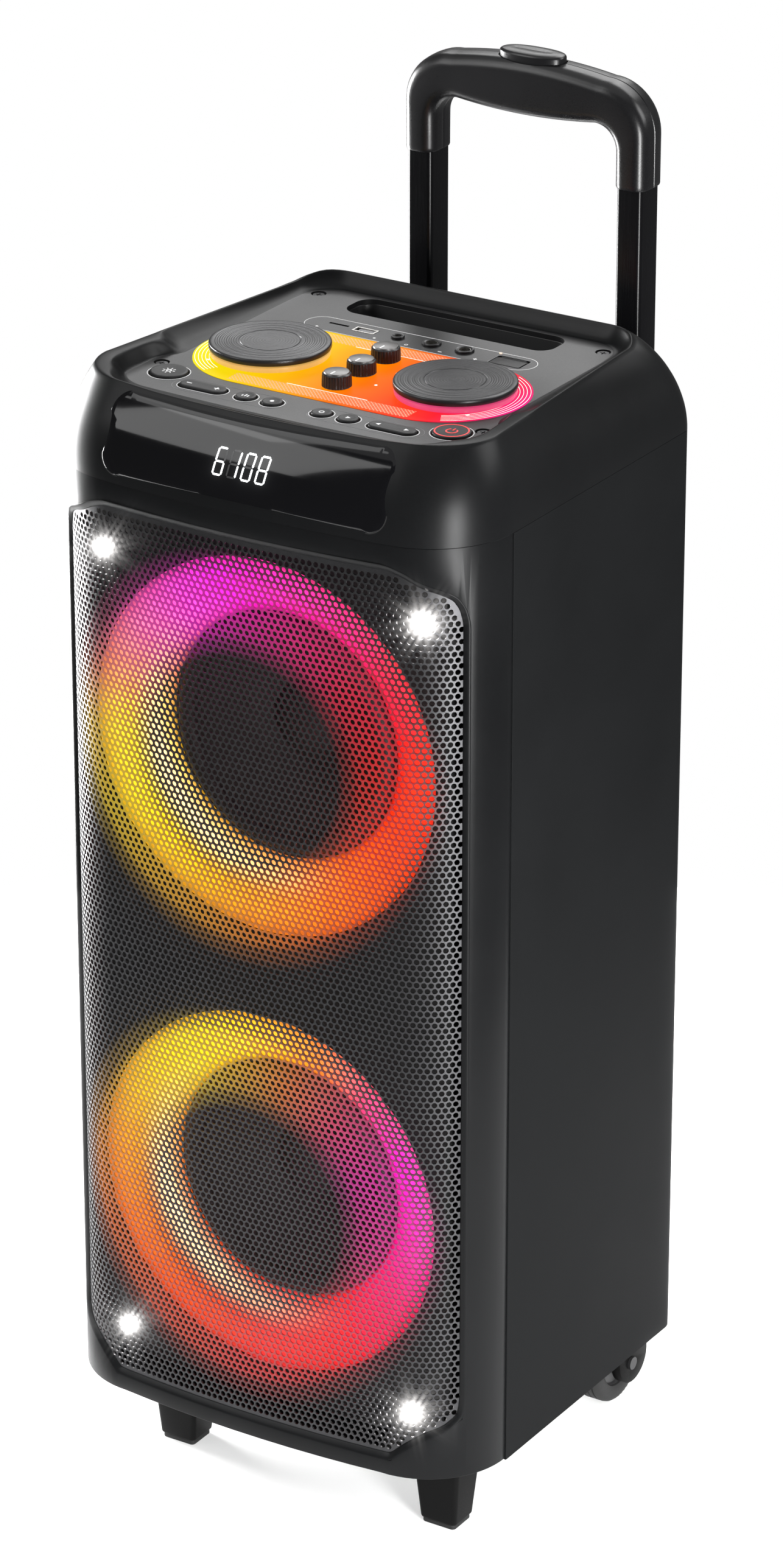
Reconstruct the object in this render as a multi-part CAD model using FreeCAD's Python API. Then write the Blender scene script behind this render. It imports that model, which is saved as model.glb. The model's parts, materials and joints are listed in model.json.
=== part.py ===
import FreeCAD, Part
import math, os
from FreeCAD import Vector as V

os.makedirs("parts", exist_ok=True)

# ---------------------------------------------------------------- driving dimensions, mm
# Working frame: X = 0 is the symmetry plane, front faces -Y, floor is z = 0.
Y_SHIFT = -28.0          # moves the working frame so that the overall box is centred on Y

HX = 140.0               # half width of the body
Y_FRONT = -128.6         # front plane where the bow starts
BOW = 5.0                # front bulge at the centre
R_FRONT = 52.0           # front vertical corner radius
Y_SEAM = -76.6           # joint between front frame and cabinet
Y_BACK = 118.0           # back face of the cabinet
R_BACK = 12.0            # rear vertical corner radius
Z_BOT = 63.0             # underside of the front frame
Z_CAB = 62.0             # underside of the cabinet
Z_WALL = 629.0           # top of the straight walls
Z_RIM = 680.0            # top of the rim
Z_PANEL = 671.0          # control panel surface
R_ROLL = 66.0            # radius of the rolled top edge

RING_Z = (483.8, 209.2)  # centres of the two drivers
RING_RO, RING_RI = 110.8, 73.0
RING_YO, RING_YI = -108.0, -86.3

JOG_X, JOG_Y, JOG_R = 60.3, -7.4, 34.3
KNOB_Y = (-33.0, -8.0, 17.0)
KNOB_R = 8.35
BTN_ROW_Y = -73.0

LEG_X0, LEG_X1 = 61.2, 77.4      # telescoping leg, one side
LEG_Y0, LEG_Y1 = 162.0, 183.0
HOUSE_BACK = 189.6
HOUSE_X = 88.0

WHEEL_Y, WHEEL_R = 113.0, 27.0
WHEEL_X0, WHEEL_X1 = 88.0, 106.0

nodes = {}


def add(name, shape):
    s = shape.copy()
    s.translate(V(0, Y_SHIFT, 0))
    nodes[name] = s


def box(x0, x1, y0, y1, z0, z1):
    return Part.makeBox(x1 - x0, y1 - y0, z1 - z0, V(x0, y0, z0))


def cyl(x, y, z, r, h, ax=V(0, 0, 1)):
    return Part.makeCylinder(r, h, V(x, y, z), ax)


def tube(x, y, z, ro, ri, h, ax=V(0, 0, 1)):
    a = ax * (1.0 / ax.Length)
    return cyl(x, y, z, ro, h, ax).cut(Part.makeCylinder(ri, h + 2, V(x, y, z) - a, ax))


def mir(s):
    return s.mirror(V(0, 0, 0), V(1, 0, 0))


def both(s):
    return Part.makeCompound([mir(s), s])


def rrect(x0, x1, y0, y1, z, r):
    """Closed rounded rectangle wire in a horizontal plane."""
    k = r * (1 - math.sqrt(0.5))
    L, A = Part.LineSegment, Part.Arc
    p = lambda x, y: V(x, y, z)
    e = []
    if x1 - x0 > 2 * r + 1e-6:
        e.append(L(p(x0 + r, y0), p(x1 - r, y0)))
    e.append(A(p(x1 - r, y0), p(x1 - k, y0 + k), p(x1, y0 + r)))
    if y1 - y0 > 2 * r + 1e-6:
        e.append(L(p(x1, y0 + r), p(x1, y1 - r)))
    e.append(A(p(x1, y1 - r), p(x1 - k, y1 - k), p(x1 - r, y1)))
    if x1 - x0 > 2 * r + 1e-6:
        e.append(L(p(x1 - r, y1), p(x0 + r, y1)))
    e.append(A(p(x0 + r, y1), p(x0 + k, y1 - k), p(x0, y1 - r)))
    if y1 - y0 > 2 * r + 1e-6:
        e.append(L(p(x0, y1 - r), p(x0, y0 + r)))
    e.append(A(p(x0, y0 + r), p(x0 + k, y0 + k), p(x0 + r, y0)))
    return Part.Wire([s.toShape() for s in e])


def rbox(x0, x1, y0, y1, z0, z1, r):
    return Part.Face(rrect(x0, x1, y0, y1, z0, r)).extrude(V(0, 0, z1 - z0))


def plan(z, hx, yf, bow, rf, yb, rb, hb=None):
    """Body outline: bowed front, two front corner arcs, straight sides and back.
    hx is the half width behind the front corner and hb the half width at the rear corner."""
    hb = hx if hb is None else hb
    L, A = Part.LineSegment, Part.Arc
    c = math.sqrt(0.5)
    p = lambda x, y: V(x, y, z)
    a = hx - rf
    e = [A(p(-a, yf), p(0, yf - bow), p(a, yf)),
         A(p(a, yf), p(a + rf * c, yf + rf * (1 - c)), p(hx, yf + rf)),
         L(p(hx, yf + rf), p(hb, yb - rb)),
         A(p(hb, yb - rb), p(hb - rb * (1 - c), yb - rb * (1 - c)), p(hb - rb, yb)),
         L(p(hb - rb, yb), p(-hb + rb, yb)),
         A(p(-hb + rb, yb), p(-hb + rb * (1 - c), yb - rb * (1 - c)), p(-hb, yb - rb)),
         L(p(-hb, yb - rb), p(-hx, yf + rf)),
         A(p(-hx, yf + rf), p(-a - rf * c, yf + rf * (1 - c)), p(-a, yf))]
    return Part.Wire([s.toShape() for s in e])


def front_plan(z, rf, yf, bow, yend):
    """Open-backed front outline with corners concentric on (88, Y_SEAM)."""
    L, A = Part.LineSegment, Part.Arc
    c = math.sqrt(0.5)
    cx = HX - R_FRONT
    p = lambda x, y: V(x, y, z)
    hx = cx + rf
    e = [A(p(-cx, yf), p(0, yf - bow), p(cx, yf)),
         A(p(cx, yf), p(cx + rf * c, Y_SEAM - rf * c), p(hx, Y_SEAM))]
    if yend > Y_SEAM + 1e-6:
        e.append(L(p(hx, Y_SEAM), p(hx, yend)))
    e.append(L(p(hx, yend), p(-hx, yend)))
    if yend > Y_SEAM + 1e-6:
        e.append(L(p(-hx, yend), p(-hx, Y_SEAM)))
    e.append(A(p(-hx, Y_SEAM), p(-cx - rf * c, Y_SEAM - rf * c), p(-cx, yf)))
    return Part.Wire([s.toShape() for s in e])


def front_solid(off, z0, z1, yend=Y_SEAM):
    return Part.Face(front_plan(z0, R_FRONT - off, Y_FRONT + off, BOW, yend)).extrude(V(0, 0, z1 - z0))


def poly_prism_y(pts, y0, y1):
    w = Part.makePolygon([V(x, y0, z) for x, z in pts] + [V(pts[0][0], y0, pts[0][1])])
    return Part.Face(w).extrude(V(0, y1 - y0, 0))


def revolve_y(pts, zc):
    """Revolve an (r, y) polygon about the Y-parallel axis through (0, *, zc)."""
    w = Part.makePolygon([V(r, y, zc) for r, y in pts] + [V(pts[0][0], pts[0][1], zc)])
    return Part.Face(w).revolve(V(0, 0, zc), V(0, 1, 0), 360)


def one(s):
    s = s.removeSplitter()
    return s.Solids[0] if len(s.Solids) == 1 else s


# ---------------------------------------------------------------- case: front frame and grille
NOTCH = [(94, 72.5), (103, 81), (113, 88.5), (123, 93.5), (129.3, 101), (130.5, 110),
         (130.5, 585), (129, 594), (126, 600.5), (120, 605), (110, 609), (101.6, 614), (92, 617)]


def notch_outline(inset):
    right = []
    for x, z in NOTCH:
        zc = 345.0
        kz = (zc - 72.5 - inset) / (zc - 72.5) if z < zc else (617 - zc - inset) / (617 - zc)
        right.append((x * (130.5 - inset) / 130.5, zc + (z - zc) * kz))
    return right + [(-x, z) for x, z in reversed(right)]


frame_outer = front_solid(0.6, Z_BOT, Z_WALL)
frame_inner = front_solid(6.0, Z_BOT + 4, Z_WALL - 4, Y_SEAM + 5)
opening = poly_prism_y(notch_outline(0.0), -150.0, Y_SEAM - 8.0)
front_frame = frame_outer.cut(frame_inner).cut(opening)

grille = front_solid(3.2, 60, 640).cut(front_solid(4.2, 50, 650, Y_SEAM + 5)).common(
    poly_prism_y(notch_outline(0.5), -150.0, -86.0))

# ---------------------------------------------------------------- case: top housing with rolled edge
def roll_wire(phi, off=0.0):
    inset = R_ROLL * (1 - math.cos(phi))
    z = Z_WALL + R_ROLL * math.sin(phi)
    t = inset / 24.2
    return plan(z, HX - 14.0 * t - off, Y_FRONT + 20.6 * t + off, BOW - 1.0 * t,
                R_FRONT - 14.0 * t - off * 0.5, Y_BACK - 2.0 * t - off, R_BACK + 12.0 * t,
                HX - 29.0 * t - off)


PHI_MAX = math.asin((Z_RIM - Z_WALL) / R_ROLL)


def roll_loft(off, phi_max):
    n = 6
    return Part.makeLoft([roll_wire(phi_max * i / n, off) for i in range(n + 1)], True, False)


housing_outer = roll_loft(0.0, PHI_MAX)
phi_in = math.asin(34.5 / R_ROLL)
cavity = roll_loft(4.0, phi_in)
recess = rbox(-112, 112, -106.5, 0, Z_PANEL - 3, Z_RIM + 5, 26).fuse(
    rbox(-103, 103, -60, 109, Z_PANEL - 3, Z_RIM + 5, 22)).fuse(
    box(-112, 112, -70, -32, Z_PANEL - 3, Z_RIM + 5))
window = rbox(-98, 98, -98, 107, Z_WALL + 30, Z_PANEL - 1, 16)
lens_zone = box(-91, 91, -150, -80, 634, 678.5)
lens_body = housing_outer.common(lens_zone)
_shift = housing_outer.copy()
_shift.translate(V(0, 2.6, 0))
display_lens = lens_body.cut(_shift)
top_housing = housing_outer.cut(cavity).cut(recess).cut(window).cut(display_lens)

# ---------------------------------------------------------------- cabinet, back panel, baffle, fascia
cab_outer_w = Part.Wire([s.toShape() for s in (
    Part.LineSegment(V(-HX, Y_SEAM, Z_CAB), V(HX, Y_SEAM, Z_CAB)),
    Part.LineSegment(V(HX, Y_SEAM, Z_CAB), V(HX, Y_BACK - R_BACK, Z_CAB)),
    Part.Arc(V(HX, Y_BACK - R_BACK, Z_CAB), V(HX - R_BACK * 0.29289, Y_BACK - R_BACK * 0.29289, Z_CAB), V(HX - R_BACK, Y_BACK, Z_CAB)),
    Part.LineSegment(V(HX - R_BACK, Y_BACK, Z_CAB), V(-HX + R_BACK, Y_BACK, Z_CAB)),
    Part.Arc(V(-HX + R_BACK, Y_BACK, Z_CAB), V(-HX + R_BACK * 0.29289, Y_BACK - R_BACK * 0.29289, Z_CAB), V(-HX, Y_BACK - R_BACK, Z_CAB)),
    Part.LineSegment(V(-HX, Y_BACK - R_BACK, Z_CAB), V(-HX, Y_SEAM, Z_CAB)))])
cab_outer = Part.Face(cab_outer_w).extrude(V(0, 0, Z_WALL - Z_CAB))
cab_inner = rbox(-136, 136, -140, Y_BACK - 4, Z_CAB + 4, Z_WALL + 10, 8)
back_open = rbox(-118, 118, 82, 612, 0, 30, 12)
back_open = back_open.copy()
back_open.rotate(V(0, 0, 0), V(1, 0, 0), 90)      # now x, z in plan; extends y -30..0
back_open.translate(V(0, Y_BACK + 10, 0))
cabinet_shell = cab_outer.cut(cab_inner).cut(back_open)

PORT_Z, PORT_RO, PORT_RI = 346.0, 30.0, 27.4
bp = rbox(-117.6, 117.6, 82.4, 611.6, 0, 4, 11.6)
bp.rotate(V(0, 0, 0), V(1, 0, 0), 90)
bp.translate(V(0, Y_BACK, 0))
port_hole = cyl(0, 0, PORT_Z, PORT_RO, 300, V(0, 1, 0))
back_panel = bp.cut(port_hole)

baffle = box(-132, 132, -82, -74, 68, 624)
for zc in RING_Z:
    baffle = baffle.cut(cyl(0, -90, zc, 71.5, 30, V(0, 1, 0)))

fascia = box(-118, 118, -108.5, -82, 79, 611).cut(box(-115.5, 115.5, -106.5, -80, 81.5, 608.5))
for zc in RING_Z:
    fascia = fascia.cut(cyl(0, -110, zc, RING_RO + 0.4, 5, V(0, 1, 0)))


def ring(zc):
    """Funnel-shaped diffuser, 2 mm thick, deeper at its inner edge."""
    e = [Part.Arc(V(RING_RO, RING_YO, zc), V(93, -99.0, zc), V(RING_RI, RING_YI, zc)),
         Part.LineSegment(V(RING_RI, RING_YI, zc), V(RING_RI, RING_YI + 0.2, zc)),
         Part.LineSegment(V(RING_RI, RING_YI + 0.2, zc), V(RING_RI + 2.2, RING_YI + 0.2, zc)),
         Part.Arc(V(RING_RI + 2.2, RING_YI + 0.2, zc), V(94, -96.8, zc), V(RING_RO, RING_YO + 2.2, zc)),
         Part.LineSegment(V(RING_RO, RING_YO + 2.2, zc), V(RING_RO, RING_YO, zc))]
    w = Part.Wire([s.toShape() for s in e])
    return Part.Face(w).revolve(V(0, 0, zc), V(0, 1, 0), 360)


led_boards = Part.makeCompound([tube(0, -84, zc, 108, 86, 1.6, V(0, 1, 0)) for zc in RING_Z])
strobes = []
for x, z in ((104, 581), (-104, 581), (97, 96), (-97, 96)):
    b = cyl(x, -112.5, z, 5.0, 4.0, V(0, 1, 0))
    strobes.append(b.fuse(Part.makeSphere(3.6, V(x, -112.5, z), V(0, -1, 0), 0, 90, 360)))
strobes = Part.makeCompound([one(s) for s in strobes])

# ---------------------------------------------------------------- drivers
def basket(zc):
    s = revolve_y([(70.8, -86), (84, -86), (84, -82), (71.4, -82), (71.4, -74), (49, -31), (44, -31),
                   (44, -29.4), (30, -29.4), (30, -32), (45.5, -32), (69.2, -76), (70.8, -80)], zc)
    for i in range(4):
        w = box(-15, 15, -70, -36, 30, 90)
        w.rotate(V(0, 0, 0), V(0, 1, 0), 45 + 90 * i)
        w.translate(V(0, 0, zc))
        s = s.cut(w)
    return s


def magnet(zc):
    return revolve_y([(17.8, -29.4), (38, -29.4), (38, -24), (45, -24), (45, -8), (38, -8), (38, -3),
                      (6, -3), (6, -29.4), (14.4, -29.4), (14.4, -12), (17.8, -12)], zc)


def cone(zc):
    c = revolve_y([(60, -85.6), (60, -84.6), (16.8, -55), (16.8, -26), (15.4, -26), (15.4, -56.6)], zc)
    # dust cap, a shallow dome standing on the cone
    R = 34.0
    h = 9.0
    a = 23.2
    R = (a * a + h * h) / (2 * h)
    yb = -61.6
    cap = Part.makeSphere(R, V(0, yb - h + R, zc)).cut(Part.makeSphere(R - 1.0, V(0, yb - h + R, zc)))
    cap = cap.common(cyl(0, yb, zc, a, 20, V(0, -1, 0)))
    return one(c.fuse(cap))


def surround(zc):
    """Half-roll edge and the flat centring disc behind the cone."""
    e = [Part.Arc(V(60.1, -85.6, zc), V(65.4, -90.9, zc), V(70.7, -85.6, zc)),
         Part.LineSegment(V(70.7, -85.6, zc), V(69.7, -85.6, zc)),
         Part.Arc(V(69.7, -85.6, zc), V(65.4, -89.9, zc), V(61.1, -85.6, zc)),
         Part.LineSegment(V(61.1, -85.6, zc), V(60.1, -85.6, zc))]
    roll = Part.Face(Part.Wire([s.toShape() for s in e])).revolve(V(0, 0, zc), V(0, 1, 0), 360)
    spider = tube(0, -40.0, zc, 49.0, 16.9, 0.8, V(0, 1, 0))
    return Part.makeCompound([roll, spider])


# bass port, flared at the back
port_y0 = 20.0
bass_port = revolve_y([(PORT_RI, port_y0), (PORT_RO, port_y0), (PORT_RO, 176), (PORT_RO + 3, 181.0),
                       (PORT_RO + 8, 183.6), (PORT_RO + 8, 186.4), (PORT_RO + 3, 186.4), (PORT_RI + 2, 182), (PORT_RI, 174)], PORT_Z)
port_tool = revolve_y([(0, 100), (PORT_RO, 100), (PORT_RO, 176), (PORT_RO + 3, 181.0), (PORT_RO + 8, 183.6),
                       (PORT_RO + 8, 200), (0, 200)], PORT_Z)

# ---------------------------------------------------------------- rear housing and telescoping handle
house = rbox(-HOUSE_X, HOUSE_X, 90, HOUSE_BACK, 96, 616, 12).cut(box(-100, 100, 80, Y_BACK, 90, 620))
relief = rbox(-46, 46, 126, 586, 0, 6, 12)
relief.rotate(V(0, 0, 0), V(1, 0, 0), 90)
relief.translate(V(0, HOUSE_BACK + 0.0, 0))          # removes y HOUSE_BACK-6 .. HOUSE_BACK
house = house.cut(relief)
hin = rbox(-HOUSE_X + 3, HOUSE_X - 3, 90, HOUSE_BACK - 3, 99, 613, 9).cut(
    box(-49, 49, HOUSE_BACK - 9, HOUSE_BACK + 5, 90, 620))
house = house.cut(hin).cut(box(-100, 100, 80, Y_BACK, 80, 640))
neck = rbox(LEG_X0 - 1.8, LEG_X1 + 1.8, LEG_Y0 - 1.8, LEG_Y1 + 1.8, 600, 630, 4)
house = house.cut(neck).cut(mir(neck)).cut(port_tool)
handle_housing = house

guide = rbox(LEG_X0 - 1.6, LEG_X1 + 1.6, LEG_Y0 - 1.6, LEG_Y1 + 1.6, 99, 612, 3.6).cut(
    rbox(LEG_X0 - 0.4, LEG_X1 + 0.4, LEG_Y0 - 0.4, LEG_Y1 + 0.4, 90, 620, 3.2))
collar = rbox(LEG_X0 - 1.8, LEG_X1 + 1.8, LEG_Y0 - 1.8, LEG_Y1 + 1.8, 612, 617, 4).fuse(
    rbox(LEG_X0 - 4, LEG_X1 + 4, LEG_Y0 - 4, LEG_Y1 + 4, 616, 622, 5)).cut(
    rbox(LEG_X0 - 0.4, LEG_X1 + 0.4, LEG_Y0 - 0.4, LEG_Y1 + 0.4, 600, 640, 3.2))
leg = rbox(LEG_X0, LEG_X1, LEG_Y0, LEG_Y1, 262, 762, 2.8).cut(
    rbox(LEG_X0 + 1.5, LEG_X1 - 1.5, LEG_Y0 + 1.5, LEG_Y1 - 1.5, 250, 770, 1.5))

# grip: crowned bridge between two sleeves
GX0, GX1, GY0, GY1 = 59.4, 79.6, 159.5, 185.5
L, A = Part.LineSegment, Part.Arc
q = lambda x, z: V(x, GY0, z)
grip_w = Part.Wire([s.toShape() for s in (
    L(q(GX1, 742), q(GX1, 771)),
    A(q(GX1, 771), q(70.8, 792.6), q(49, 802)),
    A(q(49, 802), q(0, 806), q(-49, 802)),
    A(q(-49, 802), q(-70.8, 792.6), q(-GX1, 771)),
    L(q(-GX1, 771), q(-GX1, 742)),
    L(q(-GX1, 742), q(-GX0, 742)),
    L(q(-GX0, 742), q(-GX0, 768)),
    A(q(-GX0, 768), q(-56.8, 774.2), q(-50, 776.6)),
    A(q(-50, 776.6), q(0, 773.6), q(50, 776.6)),
    A(q(50, 776.6), q(56.8, 774.2), q(GX0, 768)),
    L(q(GX0, 768), q(GX0, 742)),
    L(q(GX0, 742), q(GX1, 742)))])
grip = Part.Face(grip_w).extrude(V(0, GY1 - GY0, 0))
edges = [e for e in grip.Edges
         if abs(e.BoundBox.YMax - e.BoundBox.YMin) < 1e-3 and e.BoundBox.ZMax > 742.5]
try:
    g2 = grip.makeFillet(6.0, edges)
    if g2.isValid() and g2.Volume > 0.5 * grip.Volume:
        grip = g2
except Exception:
    pass
leg_full = rbox(LEG_X0, LEG_X1, LEG_Y0, LEG_Y1, 730, 762, 2.8)
chan = box(-73, 73, 169.5, 175.5, 779.5, 790.6)
rod_hole = cyl(69.3, 172.5, 755, 3.2, 30)
ell = Part.Ellipse(V(0, 172.5, 0), 21.2, 10.0)


def oval(a, b, z0, z1):
    w = Part.Wire([Part.Ellipse(V(0, 172.5, z0), a, b).toShape()])
    return Part.Face(w).extrude(V(0, 0, z1 - z0))


grip = grip.cut(leg_full).cut(mir(leg_full)).cut(chan).cut(rod_hole).cut(mir(rod_hole)).cut(
    oval(21.2, 10.2, 794.0, 820)).cut(cyl(0, 172.5, 785, 3.4, 20))
release_button = one(oval(20.8, 9.8, 799.5, 810.5).fuse(cyl(0, 172.5, 790, 3.0, 10)))
try:
    te = [e for e in release_button.Edges if e.BoundBox.ZMin > 810.4]
    rb2 = release_button.makeFillet(1.0, te)
    if rb2.isValid():
        release_button = rb2
except Exception:
    pass
bar = box(-71.8, 71.8, 170.3, 174.7, 785.6, 790)
rod = cyl(69.3, 172.5, 272, 2.5, 515)
cam = box(65.0, 73.6, 168, 177, 268, 276)
latch = bar.fuse(rod).fuse(mir(rod)).fuse(cam).fuse(mir(cam))

# ---------------------------------------------------------------- top panel
panel = rbox(-111.8, 111.8, -106.3, 0, Z_PANEL - 3, Z_PANEL, 25.8).fuse(
    rbox(-102.8, 102.8, -60, 108.8, Z_PANEL - 3, Z_PANEL, 21.8)).fuse(
    box(-111.8, 111.8, -70, -32.2, Z_PANEL - 3, Z_PANEL))
GLOW_HX, GLOW_R, GLOW_Y = 102.0, 48.5, -8.0
glow_face = lambda r, z0, z1: rbox(-(GLOW_HX - GLOW_R + r), GLOW_HX - GLOW_R + r, GLOW_Y - r, GLOW_Y + r, z0, z1, r - 0.001)
panel = panel.cut(glow_face(GLOW_R + 0.1, 660, 680))
slot = rbox(-68, 68, 76, 103, 640, 690, 10)
panel = panel.cut(slot)

BTN = {"led_button": (-91, -62, 11.0), "power_button": (91, -61, 11.0), "eq_button": (-33, BTN_ROW_Y, 6.2),
       "rec_button": (-16, BTN_ROW_Y, 6.2), "mode_button": (16, BTN_ROW_Y, 6.2), "scan_button": (33, BTN_ROW_Y, 6.2)}
for n, (x, y, r) in BTN.items():
    panel = panel.cut(cyl(x, y, 660, r + 0.35, 20))
    cap = cyl(x, y, 669.3, r, 3.1)
    te = [e for e in cap.Edges if e.BoundBox.ZMin > 672.3]
    cap = cap.makeFillet(0.7, te)
    add(n, one(cap.fuse(cyl(x, y, 663.2, 1.8, 6))))
ROCK = {"rocker_left": -61.0, "rocker_right": 61.0}
for n, x in ROCK.items():
    panel = panel.cut(rbox(x - 15.5, x + 15.5, BTN_ROW_Y - 6.0, BTN_ROW_Y + 6.0, 660, 680, 5.99))
    cap = rbox(x - 15, x + 15, BTN_ROW_Y - 5.5, BTN_ROW_Y + 5.5, 668.6, 672.4, 5.49)
    te = [e for e in cap.Edges if e.BoundBox.ZMin > 672.3]
    try:
        c2 = cap.makeFillet(0.6, te)
        if c2.isValid():
            cap = c2
    except Exception:
        pass
    add(n, one(cap.fuse(cyl(x, BTN_ROW_Y - 3, 668.2, 1.2, 6, V(0, 1, 0)))))

# sockets
USB = (-37.0, 54.0)
CARD = (-55.0, 55.0)
AUX = (-15.5, 54.0)
MIC = ((6.5, 54.5), (28.0, 54.5))
DC = (58.5, 52.0)
panel = panel.cut(box(USB[0] - 7.4, USB[0] + 7.4, USB[1] - 3.6, USB[1] + 3.6, 660, 680))
panel = panel.cut(box(CARD[0] - 6.4, CARD[0] + 6.4, CARD[1] - 1.0, CARD[1] + 1.0, 660, 680))
panel = panel.cut(cyl(AUX[0], AUX[1], 660, 3.4, 20))
for x, y in MIC:
    panel = panel.cut(cyl(x, y, 660, 5.6, 20))
dcw = rbox(DC[0] - 10.3, DC[0] + 10.3, DC[1] - 6.9, DC[1] + 6.9, 660, 680, 1.6)
panel = panel.cut(dcw)

usb = box(USB[0] - 7.2, USB[0] + 7.2, USB[1] - 3.4, USB[1] + 3.4, 655, 671.2).cut(
    box(USB[0] - 6.2, USB[0] + 6.2, USB[1] - 2.4, USB[1] + 2.4, 657, 680))
card = box(CARD[0] - 6.2, CARD[0] + 6.2, CARD[1] - 1.8, CARD[1] + 1.8, 655, 668).cut(
    box(CARD[0] - 5.6, CARD[0] + 5.6, CARD[1] - 0.6, CARD[1] + 0.6, 657, 680))
media_sockets = Part.makeCompound([one(usb), one(card)])
jacks = [cyl(AUX[0], AUX[1], 655, 3.2, 16.8).cut(cyl(AUX[0], AUX[1], 657, 1.8, 20))]
for x, y in MIC:
    jacks.append(cyl(x, y, 648, 5.4, 24.0).cut(cyl(x, y, 650, 3.25, 30)))
audio_jacks = Part.makeCompound(jacks)
dc_socket = rbox(DC[0] - 10.0, DC[0] + 10.0, DC[1] - 6.6, DC[1] + 6.6, 656, 669.4, 1.4).cut(
    cyl(DC[0], DC[1] - 1.0, 658, 3.2, 20))
dc_socket = dc_socket.fuse(cyl(DC[0], DC[1] - 1.0, 657, 1.0, 9))
dc_cover = rbox(DC[0] - 9.9, DC[0] + 9.9, DC[1] - 6.5, DC[1] + 5.2, 670.0, 671.3, 1.2)
dc_cover = dc_cover.fuse(cyl(DC[0] - 8.0, DC[1] + 5.6, 670.5, 0.7, 16, V(1, 0, 0)))

# screws: four in the panel, eight in the back panel
screws = []
for x, y in ((104, -50), (-104, -50), (94, 94), (-94, 94)):
    panel = panel.cut(cyl(x, y, 668.9, 4.5, 10)).cut(cyl(x, y, 660, 1.5, 20))
    s = cyl(x, y, 668.9, 3.4, 1.5).fuse(cyl(x, y, 656, 1.5, 13)).cut(
        box(x - 2, x + 2, y - 0.4, y + 0.4, 669.6, 672)).cut(box(x - 0.4, x + 0.4, y - 2, y + 2, 669.6, 672))
    screws.append(one(s))
    top_housing = top_housing.cut(cyl(x, y, 650, 1.5, 25))
for x in (-108, 108):
    for z in (100, 265, 430, 596):
        back_panel = back_panel.cut(cyl(x, 100, z, 1.6, 30, V(0, 1, 0)))
        s = cyl(x, Y_BACK, z, 3.6, 1.6, V(0, 1, 0)).fuse(cyl(x, 104, z, 1.6, 15, V(0, 1, 0))).cut(
            box(x - 2.2, x + 2.2, Y_BACK + 0.8, Y_BACK + 3, z - 0.45, z + 0.45)).cut(
            box(x - 0.45, x + 0.45, Y_BACK + 0.8, Y_BACK + 3, z - 2.2, z + 2.2))
        screws.append(one(s))
case_screws = Part.makeCompound(screws)

glow = glow_face(GLOW_R, 668.0, 671.4)
jog_bases, jogs = [], {}
for side, sx in (("left", -1), ("right", 1)):
    x = sx * JOG_X
    glow = glow.cut(cyl(x, JOG_Y, 660, 6.0, 20))
    jog_bases.append(cyl(x, JOG_Y, 671.4, 33.2, 3.5).cut(cyl(x, JOG_Y, 670, 5.05, 10)))
    disc = cyl(x, JOG_Y, 675.3, JOG_R, 4.0)
    te = [e for e in disc.Edges if e.BoundBox.ZMin > 679.2]
    disc = disc.makeFillet(0.6, te)
    jogs["jog_disc_" + side] = one(disc.fuse(cyl(x, JOG_Y, 662.8, 5.0, 13)))
for y in KNOB_Y:
    glow = glow.cut(cyl(0, y, 660, 3.6, 20))
knobs = {}
for n, y in zip(("knob_front", "knob_middle", "knob_rear"), KNOB_Y):
    k = Part.makeCone(KNOB_R, KNOB_R - 0.6, 8.6, V(0, y, 671.8))
    grooves = [cyl(KNOB_R * math.cos(math.radians(a)), y + KNOB_R * math.sin(math.radians(a)), 670, 0.45, 12)
               for a in range(0, 360, 15)]
    k = k.cut(Part.makeCompound(grooves))
    knobs[n] = one(k.fuse(cyl(0, y, 664.6, 3.0, 8)).cut(box(-0.4, 0.4, y - KNOB_R - 1, y - 2.0, 680.0, 681)))

pots = Part.makeCompound([box(-6, 6, y - 6, y + 6, 660.6, 667.4).cut(cyl(0, y, 664.3, 3.05, 10)) for y in KNOB_Y])
board = box(-98, 98, -84, 30, 659, 660.6)
for x, y in ((104, -50), (-104, -50)):
    board = board.cut(cyl(x, y, 650, 8, 20))
for n, (x, y, r) in BTN.items():
    board = board.fuse(box(x - 3, x + 3, y - 3, y + 3, 660.6, 662.0))
for x in (-JOG_X, JOG_X):
    board = board.fuse(cyl(x, JOG_Y, 660.6, 7.5, 1.6))
control_board = one(board)

pocket = rbox(-70, 70, 74, 105, 648, 668, 12).cut(rbox(-68, 68, 76, 103, 650, 690, 10))

display_module = box(-36, 36, -113, -108.5, 638, 662).fuse(box(-33, 33, -114.6, -113, 641, 660))

# ---------------------------------------------------------------- electronics
battery = box(-62, 62, 38, 98, 66, 118).fuse(box(-66, 66, 34, 102, 66, 70))
amp = box(20, 104, 112.4, 114, 420, 560).fuse(box(30, 100, 96, 112.4, 440, 452))
for i in range(7):
    amp = amp.fuse(box(34 + i * 9.5, 37 + i * 9.5, 82, 96.5, 440, 452))
amp = amp.fuse(box(40, 60, 100, 112.4, 480, 500)).fuse(cyl(85, 112.4, 490, 8, 20, V(0, -1, 0))).fuse(
    cyl(85, 112.4, 520, 8, 20, V(0, -1, 0)))

# ---------------------------------------------------------------- base
def foot():
    w0 = rrect(79, 103, -72, -51, 3.0, 3.0)
    w1 = rrect(74, 108, -76.4, -46, 62.0, 3.0)
    return Part.makeLoft([w0, w1], True, True)


foot_r = foot()
pad_r = rbox(80, 102, -71, -52, 0, 3.0, 2.5)


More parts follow.
